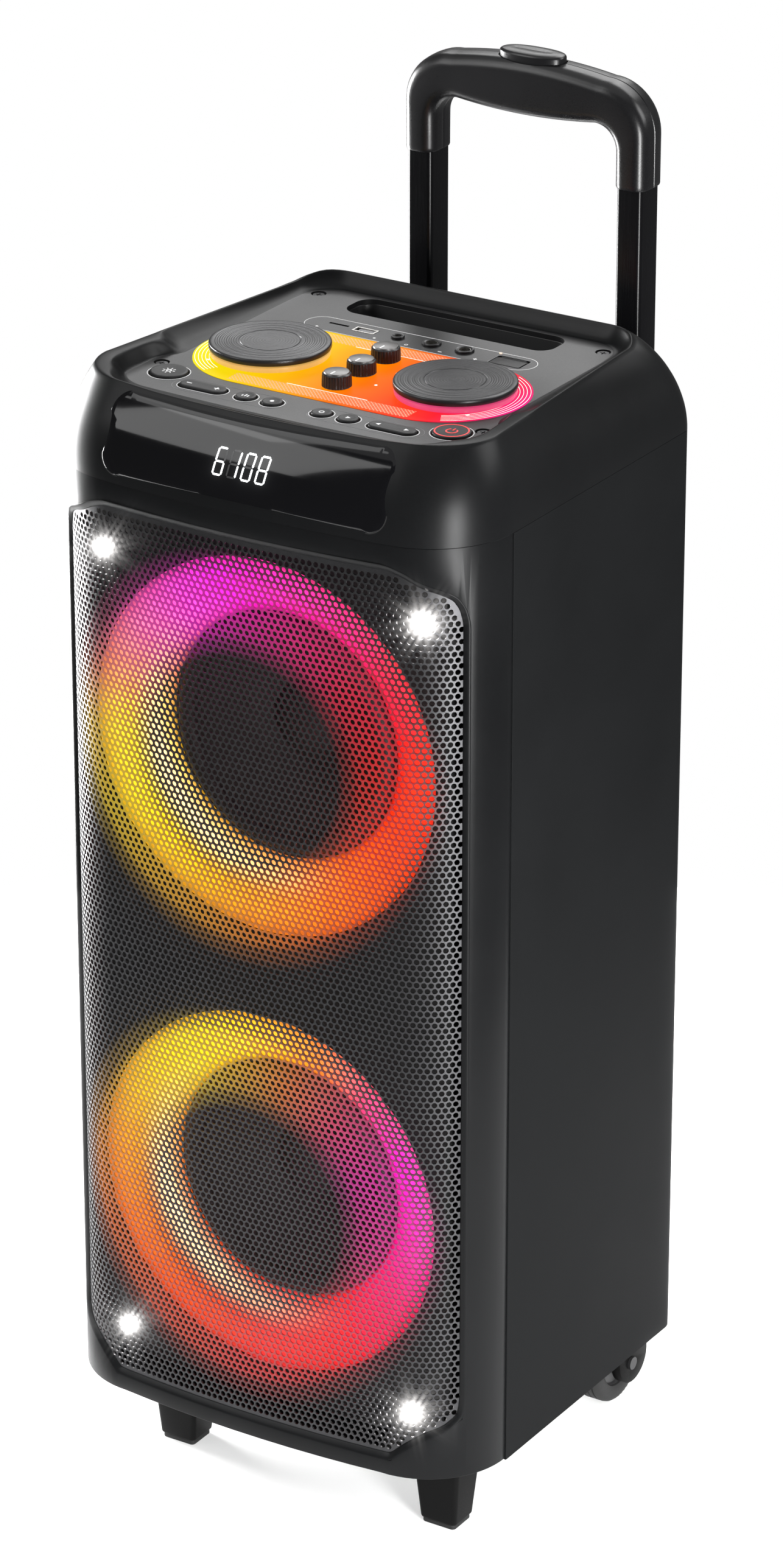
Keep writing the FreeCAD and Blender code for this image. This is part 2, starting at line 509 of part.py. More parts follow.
def ear(x0, x1):
    p = lambda y, z: V(x0, y, z)
    e = [Part.LineSegment(p(134, 62), p(131.5, 31)),
         Part.Arc(p(131.5, 31), p(115.5, 13.5), p(99.5, 31)),
         Part.LineSegment(p(99.5, 31), p(88, 62)),
         Part.LineSegment(p(88, 62), p(134, 62))]
    return Part.Face(Part.Wire([s.toShape() for s in e])).extrude(V(x1 - x0, 0, 0))


bracket = ear(107.4, 113.4).fuse(ear(80.6, 86.6)).fuse(box(80.6, 113.4, 84, 118, 58, 62)).fuse(
    rbox(78, 116, 80, 117.5, 59, 62, 4))
bracket = one(bracket.cut(cyl(70, WHEEL_Y, WHEEL_R, 4.0, 60, V(1, 0, 0))))
# the rear lobes of the ears reach behind the cabinet, so they stop below its underside
axle = cyl(79.0, WHEEL_Y, WHEEL_R, 4.0, 36.0, V(1, 0, 0)).fuse(cyl(77.4, WHEEL_Y, WHEEL_R, 6.0, 1.6 + 1.6, V(1, 0, 0)))


def wheel():
    r = WHEEL_R
    w = cyl(WHEEL_X0, WHEEL_Y, r, r, WHEEL_X1 - WHEEL_X0, V(1, 0, 0))
    w = w.makeFillet(3.5, [e for e in w.Edges if e.Length > 20 and e.BoundBox.XLength < 0.01])
    for x, d in ((WHEEL_X0 - 1, 1), (WHEEL_X1 - 2.0, 1)):
        w = w.cut(tube(x, WHEEL_Y, r, 18.0, 9.0, 3.0, V(1, 0, 0)))
    return w.cut(cyl(80, WHEEL_Y, r, 4.06, 40, V(1, 0, 0)))


wheel_r = wheel()

# ---------------------------------------------------------------- register
add("front_frame", front_frame)
add("grille", grille)
add("top_housing", top_housing)
add("display_lens", display_lens)
add("display_module", one(display_module))
add("cabinet_shell", cabinet_shell)
add("back_panel", back_panel)
add("baffle", baffle)
add("fascia", fascia)
add("light_ring_upper", ring(RING_Z[0]))
add("light_ring_lower", ring(RING_Z[1]))
add("ring_led_boards", led_boards)
add("strobe_lamps", strobes)
add("woofer_baskets", Part.makeCompound([basket(z) for z in RING_Z]))
add("woofer_magnets", Part.makeCompound([magnet(z) for z in RING_Z]))
add("cone_upper", cone(RING_Z[0]))
add("cone_lower", cone(RING_Z[1]))
add("surround_upper", surround(RING_Z[0]))
add("surround_lower", surround(RING_Z[1]))
add("bass_port", bass_port)
add("handle_housing", handle_housing)
add("guide_tubes", both(guide))
add("handle_collars", both(collar))
add("handle_legs", both(leg))
add("handle_grip", one(grip))
add("release_button", release_button)
add("latch_rods", one(latch))
add("control_panel", one(panel))
add("glow_plate", one(glow))
add("jog_bases", Part.makeCompound(jog_bases))
for n, s in jogs.items():
    add(n, s)
for n, s in knobs.items():
    add(n, s)
add("potentiometers", pots)
add("control_board", control_board)
add("media_sockets", media_sockets)
add("audio_jacks", audio_jacks)
add("dc_socket", one(dc_socket))
add("dc_cover", one(dc_cover))
add("tablet_pocket", pocket)
add("case_screws", case_screws)
add("battery_pack", one(battery))
add("amp_board", one(amp))
add("front_feet", both(foot_r))
add("foot_pads", both(pad_r))
add("wheel_brackets", both(bracket))
add("wheel_axles", both(one(axle)))
add("wheel_right", wheel_r)
add("wheel_left", mir(wheel_r))

for name, s in nodes.items():
    if not s.isValid() or any(x.Volume <= 0 for x in s.Solids) or not s.Solids:
        print("CHECK", name, s.isValid(), [round(x.Volume, 1) for x in s.Solids])
    s.exportStep(os.path.join("parts", name + ".step"))

bb = FreeCAD.BoundBox()
for s in nodes.values():
    bb.add(s.BoundBox)
print("nodes", len(nodes), "box", [round(v, 2) for v in (bb.XMin, bb.XMax, bb.YMin, bb.YMax, bb.ZMin, bb.ZMax)])
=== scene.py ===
# Party speaker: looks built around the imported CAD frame.
# Lengths below are millimetres in the working frame (front faces -Y); M() turns them into the row frame in metres.
import math, json
import bpy, bmesh
import numpy as np
from mathutils import Vector, Matrix
from mathutils.geometry import delaunay_2d_cdt

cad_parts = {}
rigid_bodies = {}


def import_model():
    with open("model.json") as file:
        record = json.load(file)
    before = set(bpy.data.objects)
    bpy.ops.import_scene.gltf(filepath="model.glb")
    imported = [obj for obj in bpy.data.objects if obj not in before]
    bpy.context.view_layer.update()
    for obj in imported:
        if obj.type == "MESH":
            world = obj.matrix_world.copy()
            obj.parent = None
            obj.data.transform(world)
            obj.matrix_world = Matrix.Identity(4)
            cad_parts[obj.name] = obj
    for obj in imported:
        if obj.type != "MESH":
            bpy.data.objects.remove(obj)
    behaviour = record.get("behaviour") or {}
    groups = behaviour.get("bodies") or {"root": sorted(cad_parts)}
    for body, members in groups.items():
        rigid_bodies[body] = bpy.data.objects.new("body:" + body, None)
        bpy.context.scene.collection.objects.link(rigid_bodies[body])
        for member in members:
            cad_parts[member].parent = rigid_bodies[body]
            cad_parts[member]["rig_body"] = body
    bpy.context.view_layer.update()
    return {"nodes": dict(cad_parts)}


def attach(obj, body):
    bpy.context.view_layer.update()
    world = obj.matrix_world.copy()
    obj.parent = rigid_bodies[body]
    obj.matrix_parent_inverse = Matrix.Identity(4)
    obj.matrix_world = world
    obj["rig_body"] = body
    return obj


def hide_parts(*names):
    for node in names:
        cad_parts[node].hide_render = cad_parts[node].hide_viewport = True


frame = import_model()
N = frame["nodes"]
YS = -28.0
RAD = math.radians


def M(p):
    a = np.asarray(p, float).reshape(-1, 3)
    return (a + (0, YS, 0)) / 1000.0


def sst(x, a, b):
    t = np.clip((np.asarray(x, float) - a) / (b - a), 0, 1)
    return t * t * (3 - 2 * t)


# ------------------------------------------------------------------ materials
def new_mat(name):
    m = bpy.data.materials.new(name)
    m.use_nodes = True
    t = m.node_tree
    t.nodes.clear()
    out = t.nodes.new("ShaderNodeOutputMaterial")
    b = t.nodes.new("ShaderNodeBsdfPrincipled")
    t.links.new(b.outputs[0], out.inputs[0])
    return m, t, b


def node(t, kind, **kw):
    n = t.nodes.new(kind)
    for k, v in kw.items():
        if k.startswith("i_"):
            n.inputs[int(k[2:])].default_value = v
        else:
            setattr(n, k, v)
    return n


def math_node(t, op, a, b=None, clamp=False):
    n = node(t, "ShaderNodeMath", operation=op, use_clamp=clamp)
    for i, v in enumerate((a, b)):
        if v is None:
            continue
        if isinstance(v, (int, float)):
            n.inputs[i].default_value = v
        else:
            t.links.new(v, n.inputs[i])
    return n.outputs[0]


def ramp(t, fac, stops, interp="LINEAR"):
    r = node(t, "ShaderNodeValToRGB")
    cr = r.color_ramp
    cr.interpolation = interp
    while len(cr.elements) < len(stops):
        cr.elements.new(0.5)
    for e, (p, c) in zip(cr.elements, stops):
        e.position = p
        e.color = (c[0], c[1], c[2], 1)
    t.links.new(fac, r.inputs[0])
    return r.outputs[0]


def noise(t, vec, scale, detail=2.0, rough=0.5):
    n = node(t, "ShaderNodeTexNoise")
    n.inputs["Scale"].default_value = scale
    n.inputs["Detail"].default_value = detail
    n.inputs["Roughness"].default_value = rough
    t.links.new(vec, n.inputs["Vector"])
    return n.outputs[0]


def surf(name, col, rough=0.5, metal=0.0, spec=0.5, grain=900, bump=0.15, dist=0.00006, var=0.12, rvar=0.06,
         coat=0.0, coat_rough=0.1, stretch=None, cloud=14, emis=None, emis_k=0.0, extra=None):
    """A moulded, painted or metal surface: fine grain in colour, roughness and bump, and a broad uneven tone."""
    m, t, b = new_mat(name)
    tc = node(t, "ShaderNodeTexCoord")
    vec = tc.outputs["Object"]
    if stretch:
        mp = node(t, "ShaderNodeMapping")
        mp.inputs["Scale"].default_value = stretch
        t.links.new(vec, mp.inputs[0])
        vec = mp.outputs[0]
    fine = noise(t, vec, grain, 3.0, 0.6)
    broad = noise(t, tc.outputs["Object"], cloud, 3.0)
    mixv = math_node(t, "ADD", math_node(t, "MULTIPLY", fine, 0.55), math_node(t, "MULTIPLY", broad, 0.45))
    lo = [max(0, c * (1 - var)) for c in col]
    hi = [min(1, c * (1 + var)) for c in col]
    base = ramp(t, mixv, [(0.32, lo), (0.68, hi)])
    t.links.new(base, b.inputs["Base Color"])
    mr = node(t, "ShaderNodeMapRange")
    mr.inputs[1].default_value, mr.inputs[2].default_value = 0.3, 0.7
    mr.inputs[3].default_value, mr.inputs[4].default_value = rough - rvar, rough + rvar
    t.links.new(mixv, mr.inputs[0])
    t.links.new(mr.outputs[0], b.inputs["Roughness"])
    b.inputs["Metallic"].default_value = metal
    b.inputs["Specular IOR Level"].default_value = spec
    b.inputs["Coat Weight"].default_value = coat
    b.inputs["Coat Roughness"].default_value = coat_rough
    if bump:
        bp = node(t, "ShaderNodeBump")
        bp.inputs["Strength"].default_value = bump
        bp.inputs["Distance"].default_value = dist
        h = fine
        if extra:
            h = math_node(t, "ADD", fine, extra(t, tc.outputs["Object"]))
        t.links.new(h, bp.inputs["Height"])
        t.links.new(bp.outputs[0], b.inputs["Normal"])
    if emis:
        b.inputs["Emission Color"].default_value = (*emis, 1)
        b.inputs["Emission Strength"].default_value = emis_k
    return m


def radial_lines(cx, cy, pitch, k):
    """Concentric turned lines about a vertical axis, row frame in metres."""
    def f(t, vec):
        s = node(t, "ShaderNodeSeparateXYZ")
        t.links.new(vec, s.inputs[0])
        dx = math_node(t, "SUBTRACT", s.outputs[0], cx)
        dy = math_node(t, "SUBTRACT", s.outputs[1], cy)
        r = math_node(t, "SQRT", math_node(t, "ADD", math_node(t, "MULTIPLY", dx, dx), math_node(t, "MULTIPLY", dy, dy)))
        return math_node(t, "MULTIPLY", math_node(t, "SINE", math_node(t, "MULTIPLY", r, 6.2832 / pitch)), k)
    return f


def ring_glow(name, zc, stops, k):
    m, t, b = new_mat(name)
    tc = node(t, "ShaderNodeTexCoord")
    s = node(t, "ShaderNodeSeparateXYZ")
    t.links.new(tc.outputs["Object"], s.inputs[0])
    dz = math_node(t, "SUBTRACT", s.outputs[2], zc)
    ang = math_node(t, "ARCTAN2", s.outputs[0], dz)
    u = math_node(t, "FRACT", math_node(t, "ADD", math_node(t, "DIVIDE", ang, 2 * math.pi), 1.0))
    c0 = ramp(t, u, stops + [(1.0, stops[0][1])])
    gain = node(t, "ShaderNodeVectorMath", operation="MULTIPLY")
    t.links.new(c0, gain.inputs[0])
    gain.inputs[1].default_value = (1.5, 1.25, 1.25)
    c = gain.outputs[0]
    r = math_node(t, "SQRT", math_node(t, "ADD", math_node(t, "MULTIPLY", s.outputs[0], s.outputs[0]), math_node(t, "MULTIPLY", dz, dz)))
    # brighter along the outer edge where the light guide is fed, dimmer towards the cone
    mr = node(t, "ShaderNodeMapRange")
    mr.inputs[1].default_value, mr.inputs[2].default_value = 0.073, 0.109
    mr.inputs[3].default_value, mr.inputs[4].default_value = 0.0, 1.0
    t.links.new(r, mr.inputs[0])
    prof = ramp(t, mr.outputs[0], [(0.0, (.25,) * 3), (.10, (.75,) * 3), (.30, (1,) * 3), (.75, (.95,) * 3), (.93, (.7,) * 3), (1.0, (.4,) * 3)], "EASE")
    prof = math_node(t, "MULTIPLY", prof, k)
    # painted highlight: a pale band on the lower left of the inner band, a sheen painted into the emission colour
    sx = math_node(t, "SINE", math_node(t, "ADD", ang, 3.75))
    highlight_side = math_node(t, "POWER", math_node(t, "MAXIMUM", sx, 0.0), 2.0)
    highlight_band = ramp(t, mr.outputs[0], [(0.0, (0,) * 3), (.08, (.35,) * 3), (.26, (1,) * 3), (.62, (0,) * 3)], "EASE")
    painted_highlight = math_node(t, "MULTIPLY", math_node(t, "MULTIPLY", highlight_side, highlight_band), 0.85)
    leds = math_node(t, "ADD", math_node(t, "MULTIPLY", math_node(t, "SINE", math_node(t, "MULTIPLY", ang, 36.0)), 0.06), 1.0)
    cl = noise(t, tc.outputs["Object"], 18, 2.0)
    # mixes the painted highlight colour into the ring colour
    highlight_mix = node(t, "ShaderNodeMix", data_type="RGBA")
    t.links.new(painted_highlight, highlight_mix.inputs[0])
    t.links.new(c, highlight_mix.inputs[6])
    highlight_mix.inputs[7].default_value = (1.6, 1.12, .62, 1)
    c = highlight_mix.outputs[2]
    st = math_node(t, "MULTIPLY", math_node(t, "MULTIPLY", prof, leds), math_node(t, "ADD", math_node(t, "MULTIPLY", cl, 0.5), 0.75))
    t.links.new(c, b.inputs["Emission Color"])
    t.links.new(st, b.inputs["Emission Strength"])
    b.inputs["Base Color"].default_value = (.06, .02, .02, 1)
    b.inputs["Roughness"].default_value = 0.35
    return m


def sr(r, g, b):
    """Display colour to a light colour with its strongest channel at 1."""
    c = [((v / 255 + .055) / 1.055) ** 2.4 if v > 10 else v / 3294 for v in (r, g, b)]
    return tuple(c[i] if c[i] > .9 else c[i] * .90 for i in range(3))


UP = [(0.0, sr(250, 18, 190)), (.06, sr(252, 20, 150)), (.14, sr(252, 22, 80)), (.22, sr(255, 18, 20)), (.31, sr(255, 45, 0)), (.40, sr(255, 100, 0)),
      (.49, sr(255, 150, 0)), (.58, sr(255, 195, 10)), (.67, sr(255, 228, 30)), (.75, sr(255, 215, 50)), (.80, sr(255, 150, 110)), (.87, sr(255, 90, 190)), (.94, sr(255, 10, 225))]
LO = [(0.0, sr(250, 190, 10)), (.05, sr(252, 140, 40)), (.11, sr(250, 70, 120)), (.18, sr(252, 15, 190)), (.26, sr(255, 5, 170)), (.33, sr(255, 15, 100)),
      (.41, sr(255, 30, 40)), (.51, sr(255, 55, 50)), (.60, sr(255, 85, 20)), (.69, sr(255, 125, 10)), (.78, sr(255, 165, 0)), (.86, sr(255, 210, 0)), (.94, sr(255, 228, 10))]


def painted_ring_glow_on_grille(m):
    # painted glow: emission on the perforated sheet, in the two rings' colours, stands in for the light of the rings
    # close behind it
    t = m.node_tree
    b = [n for n in t.nodes if n.type == "BSDF_PRINCIPLED"][0]
    tc = node(t, "ShaderNodeTexCoord")
    s = node(t, "ShaderNodeSeparateXYZ")
    t.links.new(tc.outputs["Object"], s.inputs[0])
    x = s.outputs[0]
    painted_ring_light = None
    for zc, stops in ((.4838, UP), (.2092, LO)):
        dz = math_node(t, "SUBTRACT", s.outputs[2], zc)
        u = math_node(t, "FRACT", math_node(t, "ADD", math_node(t, "DIVIDE", math_node(t, "ARCTAN2", x, dz), 2 * math.pi), 1.0))
        c = ramp(t, u, stops + [(1.0, stops[0][1])])
        r = math_node(t, "SQRT", math_node(t, "ADD", math_node(t, "MULTIPLY", x, x), math_node(t, "MULTIPLY", dz, dz)))
        mr = node(t, "ShaderNodeMapRange")
        mr.inputs[1].default_value, mr.inputs[2].default_value = 0.060, 0.124
        mr.inputs[3].default_value, mr.inputs[4].default_value = 0.0, 1.0
        t.links.new(r, mr.inputs[0])
        prof = ramp(t, mr.outputs[0], [(0.0, (0,) * 3), (.10, (.25,) * 3), (.26, (.80,) * 3), (.42, (1,) * 3), (.70, (.85,) * 3), (.84, (.22,) * 3), (1.0, (0,) * 3)], "EASE")
        v = node(t, "ShaderNodeVectorMath", operation="SCALE")
        t.links.new(c, v.inputs[0])
        t.links.new(prof, v.inputs[3])
        if painted_ring_light is None:
            painted_ring_light = v.outputs[0]
        else:
            a = node(t, "ShaderNodeVectorMath", operation="ADD")
            t.links.new(painted_ring_light, a.inputs[0])
            t.links.new(v.outputs[0], a.inputs[1])
            painted_ring_light = a.outputs[0]
    t.links.new(painted_ring_light, b.inputs["Emission Color"])
    b.inputs["Emission Strength"].default_value = 0.50
    return m


def glow_plate_mat():
    m, t, b = new_mat("glow_plate_lit")
    tc = node(t, "ShaderNodeTexCoord")
    s = node(t, "ShaderNodeSeparateXYZ")
    t.links.new(tc.outputs["Object"], s.inputs[0])
    mr = node(t, "ShaderNodeMapRange")
    mr.inputs[1].default_value, mr.inputs[2].default_value = -0.102, 0.102
    t.links.new(s.outputs[0], mr.inputs[0])
    c = ramp(t, mr.outputs[0], [(0.0, (1.0, .92, .0)), (.20, (1, .74, .0)), (.38, (1, .42, .0)), (.55, (1, .17, .0)), (.72, (1, .05, .01)), (.84, (1, .012, .03)), (.94, (1, .01, .12)), (1.0, (.95, .01, .25))])
    dy = math_node(t, "ABSOLUTE", math_node(t, "SUBTRACT", s.outputs[1], -0.036))
    hx = math_node(t, "LESS_THAN", math_node(t, "ABSOLUTE", s.outputs[0]), 0.058)
    band = math_node(t, "MULTIPLY", math_node(t, "GREATER_THAN", dy, 0.0355), math_node(t, "LESS_THAN", dy, 0.0465))
    band = math_node(t, "MULTIPLY", band, hx)
    p = math_node(t, "MULTIPLY", math_node(t, "ADD", s.outputs[0], s.outputs[1]), 420.0)
    q = math_node(t, "MULTIPLY", math_node(t, "SUBTRACT", s.outputs[0], s.outputs[1]), 420.0)
    l1 = math_node(t, "LESS_THAN", math_node(t, "FRACT", math_node(t, "ADD", p, 100.0)), 0.22)
    l2 = math_node(t, "LESS_THAN", math_node(t, "FRACT", math_node(t, "ADD", q, 100.0)), 0.22)
    line = math_node(t, "MULTIPLY", math_node(t, "MAXIMUM", l1, l2), band)
    mx = node(t, "ShaderNodeMix", data_type="RGBA")
    t.links.new(line, mx.inputs[0])
    t.links.new(c, mx.inputs[6])
    mx.inputs[7].default_value = (1, .55, .36, 1)
    t.links.new(mx.outputs[2], b.inputs["Emission Color"])
    cl = noise(t, tc.outputs["Object"], 22, 2.0)
    t.links.new(math_node(t, "ADD", math_node(t, "MULTIPLY", cl, 0.45), 0.80), b.inputs["Emission Strength"])
    b.inputs["Base Color"].default_value = (.03, .008, .002, 1)
    b.inputs["Roughness"].default_value = 0.5
    b.inputs["Specular IOR Level"].default_value = 0.03
    return m


MAT = {
    "case_plastic": surf("case_satin_black", (.0042, .0044, .0047), .34, spec=.10, grain=1500, bump=.10, var=.2),
    "side_plastic": surf("side_matte_black", (.0046, .0049, .0052), .60, spec=.05, grain=1100, bump=.22, var=.2),
    "panel_plastic": surf("deck_black", (.008, .008, .0085), .36, spec=.40, grain=1600, bump=.08, var=.15),
    "inner_black": surf("inner_black", (.008, .008, .008), .7, spec=.3, grain=700, bump=.2),
    "foot_plastic": surf("foot_black", (.003, .003, .003), .50, spec=.06, grain=1000, bump=.18),
    "grip_plastic": surf("grip_satin", (.004, .004, .0045), .30, spec=.30, grain=1400, bump=.07, var=.12),
    "jog_cap": surf("jog_cap_grey", (.02, .02, .021), .38, metal=.35, spec=.5, grain=1200, bump=.08),
    "cone_black": surf("cone_paper", (.012, .011, .011), .75, spec=.25, grain=420, bump=.35, dist=.0002),
    "battery_wrap": surf("battery_wrap", (.03, .06, .12), .45, grain=500),
    "circuit_board": surf("circuit_green", (.01, .09, .03), .4, grain=300, var=.35),
    "lens_black": surf("lens_gloss", (.002, .002, .0025), .08, spec=.16, grain=60, bump=0, var=.05, rvar=.02, coat=.12, coat_rough=.03),
    "light_ring_upper": ring_glow("ring_upper_lit", .4838, UP, 1.30),
    "light_ring_lower": ring_glow("ring_lower_lit", .2092, LO, 1.30),
    "glow_plate": glow_plate_mat(),
    "jog_glow": surf("jog_glow", (.25, .14, .10), .25, grain=300, bump=.05, emis=(1, .22, .08), emis_k=.35, coat=.5),
    "strobe_lamp": surf("strobe_white", (.9, .9, .9), .2, grain=200, bump=.1, emis=(1, .97, .95), emis_k=45),
    # dark steel; further down it also gets a painted glow of the two rings
    "grille_steel": surf("grille_dark_painted_glow", (.044, .044, .046), .46, metal=.92, spec=.5, grain=1300, bump=.10, var=.15),
    "basket_steel": surf("basket_steel", (.05, .05, .05), .45, metal=.8, grain=600),
    "tube_steel": surf("tube_black", (.0022, .0022, .0026), .26, metal=.0, spec=.07, grain=900, bump=.05, stretch=(1, 1, .05), coat=.15, coat_rough=.2),
    "magnet_ferrite": surf("ferrite", (.05, .05, .052), .7, grain=400, bump=.3),
    "knob_metal": surf("knob_fluted", (.02, .02, .021), .30, metal=.5, grain=900, bump=.06),
    "socket_metal": surf("socket_nickel", (.45, .44, .42), .28, metal=1.0, grain=700, bump=.05),
    "screw_steel": surf("screw_black", (.05, .05, .052), .38, metal=.8, grain=900, bump=.1),
    "surround_rubber": surf("surround_rubber", (.010, .010, .010), .6, spec=.3, grain=600, bump=.15),
    "button_rubber": surf("key_rubber", (.010, .010, .0105), .45, spec=.3, grain=1300, bump=.14),
    "pad_rubber": surf("pad_rubber", (.010, .010, .010), .75, spec=.3, grain=700, bump=.3),
    "wheel_rubber": surf("tyre_rubber", (.013, .013, .013), .66, spec=.35, grain=800, bump=.25),
    "baffle_board": surf("baffle_board", (.012, .011, .010), .7, grain=300, bump=.2),
}
# painted glow of the rings put into the grille material as emission
painted_ring_glow_on_grille(MAT["grille_steel"])
CAP = surf("knob_cap_brushed", (.16, .157, .155), .36, metal=1.0, grain=1500, bump=.10, stretch=(.08, 1, 1), var=.2)
# white print; its faint emission is a painted glow, not a lamp
PRINT_PAINTED_GLOW = surf("print_white_painted_glow", (.62, .62, .62), .5, grain=900, bump=.03, emis=(1, 1, 1), emis_k=.22)
PRINT_DIM = surf("print_grey", (.13, .13, .135), .5, grain=900, bump=.03)
DIGIT = surf("digit_white", (.8, .8, .8), .4, grain=600, bump=.02, emis=(.92, .97, 1), emis_k=2.4, var=.05)
SEG_OFF = surf("digit_off", (.016, .016, .017), .35, grain=600, bump=.02)
REDLIT = surf("key_red_lit", (.5, .02, .02), .4, grain=600, bump=.02, emis=(1, .03, .02), emis_k=.55)
LINE = surf("line_white_lit", (.8, .8, .75), .35, grain=600, bump=.02, emis=(1, .93, .85), emis_k=.75)
CHARGE = surf("charge_led", (.4, .35, .3), .3, grain=600, bump=.02, emis=(1, .55, .3), emis_k=2.0)
TONGUE = surf("tongue_white", (.30, .30, .32), .4, grain=700, bump=.05)
HUB = surf("hub_grey", (.03, .03, .031), .45, grain=900, bump=.15)

for n, o in N.items():
    for s in o.material_slots:
        key = s.material.name.split(".")[0] if s.material else ""
        s.material = MAT.get(key, MAT["inner_black"])


# ------------------------------------------------------------------ mesh helpers
def make(name, verts, faces, mats, body, reps=(), slot=None, sharp=38, fmat=None, mm=True, recalc=False):
    me = bpy.data.meshes.new(name)
    v = M(verts) if mm else np.asarray(verts, float)
    me.from_pydata([tuple(p) for p in v], [], [tuple(int(i) for i in f) for f in faces])
    mats = mats if isinstance(mats, (list, tuple)) else [mats]
    for m in mats:
        me.materials.append(m)
    if fmat is not None:
        me.polygons.foreach_set("material_index", np.asarray(fmat, np.int32))
    if recalc:
        bm = bmesh.new()
        bm.from_mesh(me)
        bmesh.ops.recalc_face_normals(bm, faces=bm.faces)
        bm.to_mesh(me)
        bm.free()
    me.shade_smooth()
    if sharp:
        me.set_sharp_from_angle(angle=RAD(sharp))
    me.update()
    o = bpy.data.objects.new(name, me)
    bpy.context.scene.collection.objects.link(o)
    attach(o, body)
    if reps:
        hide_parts(*reps)
    return o


def join(parts):
    V, F, K = [], [], []
    n = 0
    for p in parts:
        v, f = p[0], p[1]
        k = p[2] if len(p) > 2 else 0
        V.append(np.asarray(v, float).reshape(-1, 3))
        F += [tuple(i + n for i in q) for q in f]
        K += [k] * len(f) if np.isscalar(k) else list(k)
        n += len(V[-1])
    return np.vstack(V), F, K


def loft(rings, cap0=True, cap1=True, close=False):
    """Rings of equal point counts, closed round. close=True joins the last ring to the first."""
    R = [np.asarray(r, float) for r in rings]
    m = len(R[0])
    V = np.vstack(R)
    F = []
    cnt = len(R)
    for k in range(cnt if close else cnt - 1):
        a, b = k * m, ((k + 1) % cnt) * m
        for i in range(m):
            j = (i + 1) % m
            F.append((a + i, a + j, b + j, b + i))
    if not close:
        if cap0:
            F.append(tuple(range(m - 1, -1, -1)))
        if cap1:
            F.append(tuple((cnt - 1) * m + i for i in range(m)))
    return V, F


def lathe(prof, c, axis="z", segs=64, mod=None):
    """prof: closed solid profile as (r, h) from the axis back to the axis. mod(theta, r, h) changes r."""
    V, F, rows = [], [], []
    for r, h in prof:
        if r < 1e-6:
            rows.append([len(V)])
            V.append((0, 0, h))
            continue
        row = []
        for i in range(segs):
            th = 2 * math.pi * i / segs
            rr = mod(th, r, h) if mod else r
            row.append(len(V))
            V.append((rr * math.cos(th), rr * math.sin(th), h))
        rows.append(row)
    for a, b in zip(rows, rows[1:]):
        if len(a) == 1 and len(b) == 1:
            continue
        for i in range(segs):
            j = (i + 1) % segs
            if len(a) == 1:
                F.append((a[0], b[j], b[i]))
            elif len(b) == 1:
                F.append((a[i], a[j], b[0]))
            else:
                F.append((a[i], a[j], b[j], b[i]))
    V = np.array(V, float)
    if axis == "x":
        V = V[:, [2, 0, 1]]
    elif axis == "y":
        V = V[:, [1, 2, 0]]
    return V + np.asarray(c, float), F


def inside(P, loops):
    res = np.zeros(len(P), bool)
    for L in loops:
        x0, y0 = L[:, 0], L[:, 1]
        x1, y1 = np.roll(x0, -1), np.roll(y0, -1)
        for a0, b0, a1, b1 in zip(x0, y0, x1, y1):
            if b0 == b1:
                continue
            c = ((b0 > P[:, 1]) != (b1 > P[:, 1])) & (P[:, 0] < (a1 - a0) * (P[:, 1] - b0) / (b1 - b0) + a0)
            res ^= c
    return res


def tri2d(loops, steiner=None):
    loops = [np.asarray(L, float) for L in loops]
    pts, edges = [], []
    for L in loops:
        n = len(pts)
        pts += [Vector((a, b)) for a, b in L]
        edges += [(n + i, n + (i + 1) % len(L)) for i in range(len(L))]
    if steiner is not None and len(steiner):
        pts += [Vector((a, b)) for a, b in steiner]
    v, e, f, *_ = delaunay_2d_cdt(pts, edges, [], 0, 1e-5)
    v = np.array([(p.x, p.y) for p in v])
    f = np.array([q for q in f if len(q) == 3])
    c = v[f].mean(1)
    f = f[inside(c, loops)]
    a = v[f]
    area = (a[:, 1, 0] - a[:, 0, 0]) * (a[:, 2, 1] - a[:, 0, 1]) - (a[:, 2, 0] - a[:, 0, 0]) * (a[:, 1, 1] - a[:, 0, 1])
    f = f[np.abs(area) > 1e-7]
    area = area[np.abs(area) > 1e-7]
    f[area < 0] = f[area < 0][:, ::-1]
    used, inv = np.unique(f, return_inverse=True)
    return v[used], inv.reshape(f.shape)


def plate(v2, f2, front, back):
    """A closed plate: the flat mesh mapped by front and by back, with walls along every open edge."""
    n = len(v2)
    V = np.vstack([front(v2), back(v2)])
    F = [tuple(q) for q in f2]
    cnt = {}
    for q in F:
        for i in range(len(q)):
            cnt[(q[i], q[(i + 1) % len(q)])] = 1
    W = [(b, a, a + n, b + n) for (a, b) in cnt if (b, a) not in cnt]
    F2 = [tuple(i + n for i in reversed(q)) for q in F]
    return V, F + F2 + W


def flat(z, swap=False):
    return lambda p: np.column_stack([p[:, 0], p[:, 1], np.full(len(p), z)])


def ring_pts(cx, cy, r, n=48, a0=0, a1=360):
    closed = abs(a1 - a0) >= 360
    t = np.radians(np.linspace(a0, a1, n, endpoint=not closed))
    return np.column_stack([cx + r * np.cos(t), cy + r * np.sin(t)])


def rr_pts(x0, x1, y0, y1, r, n=8):
    P = []
    for cx, cy, a in ((x1 - r, y0 + r, -90), (x1 - r, y1 - r, 0), (x0 + r, y1 - r, 90), (x0 + r, y0 + r, 180)):
        for i in range(n + 1):
            t = RAD(a + 90 * i / n)
            P.append((cx + r * math.cos(t), cy + r * math.sin(t)))
    P = np.array(P)
    keep = np.linalg.norm(P - np.roll(P, 1, 0), axis=1) > 1e-6
    return P[keep]


def slab(loops, z0, z1, steiner=None):
    v, f = tri2d(loops, steiner)
    return plate(v, f, flat(z1), flat(z0))


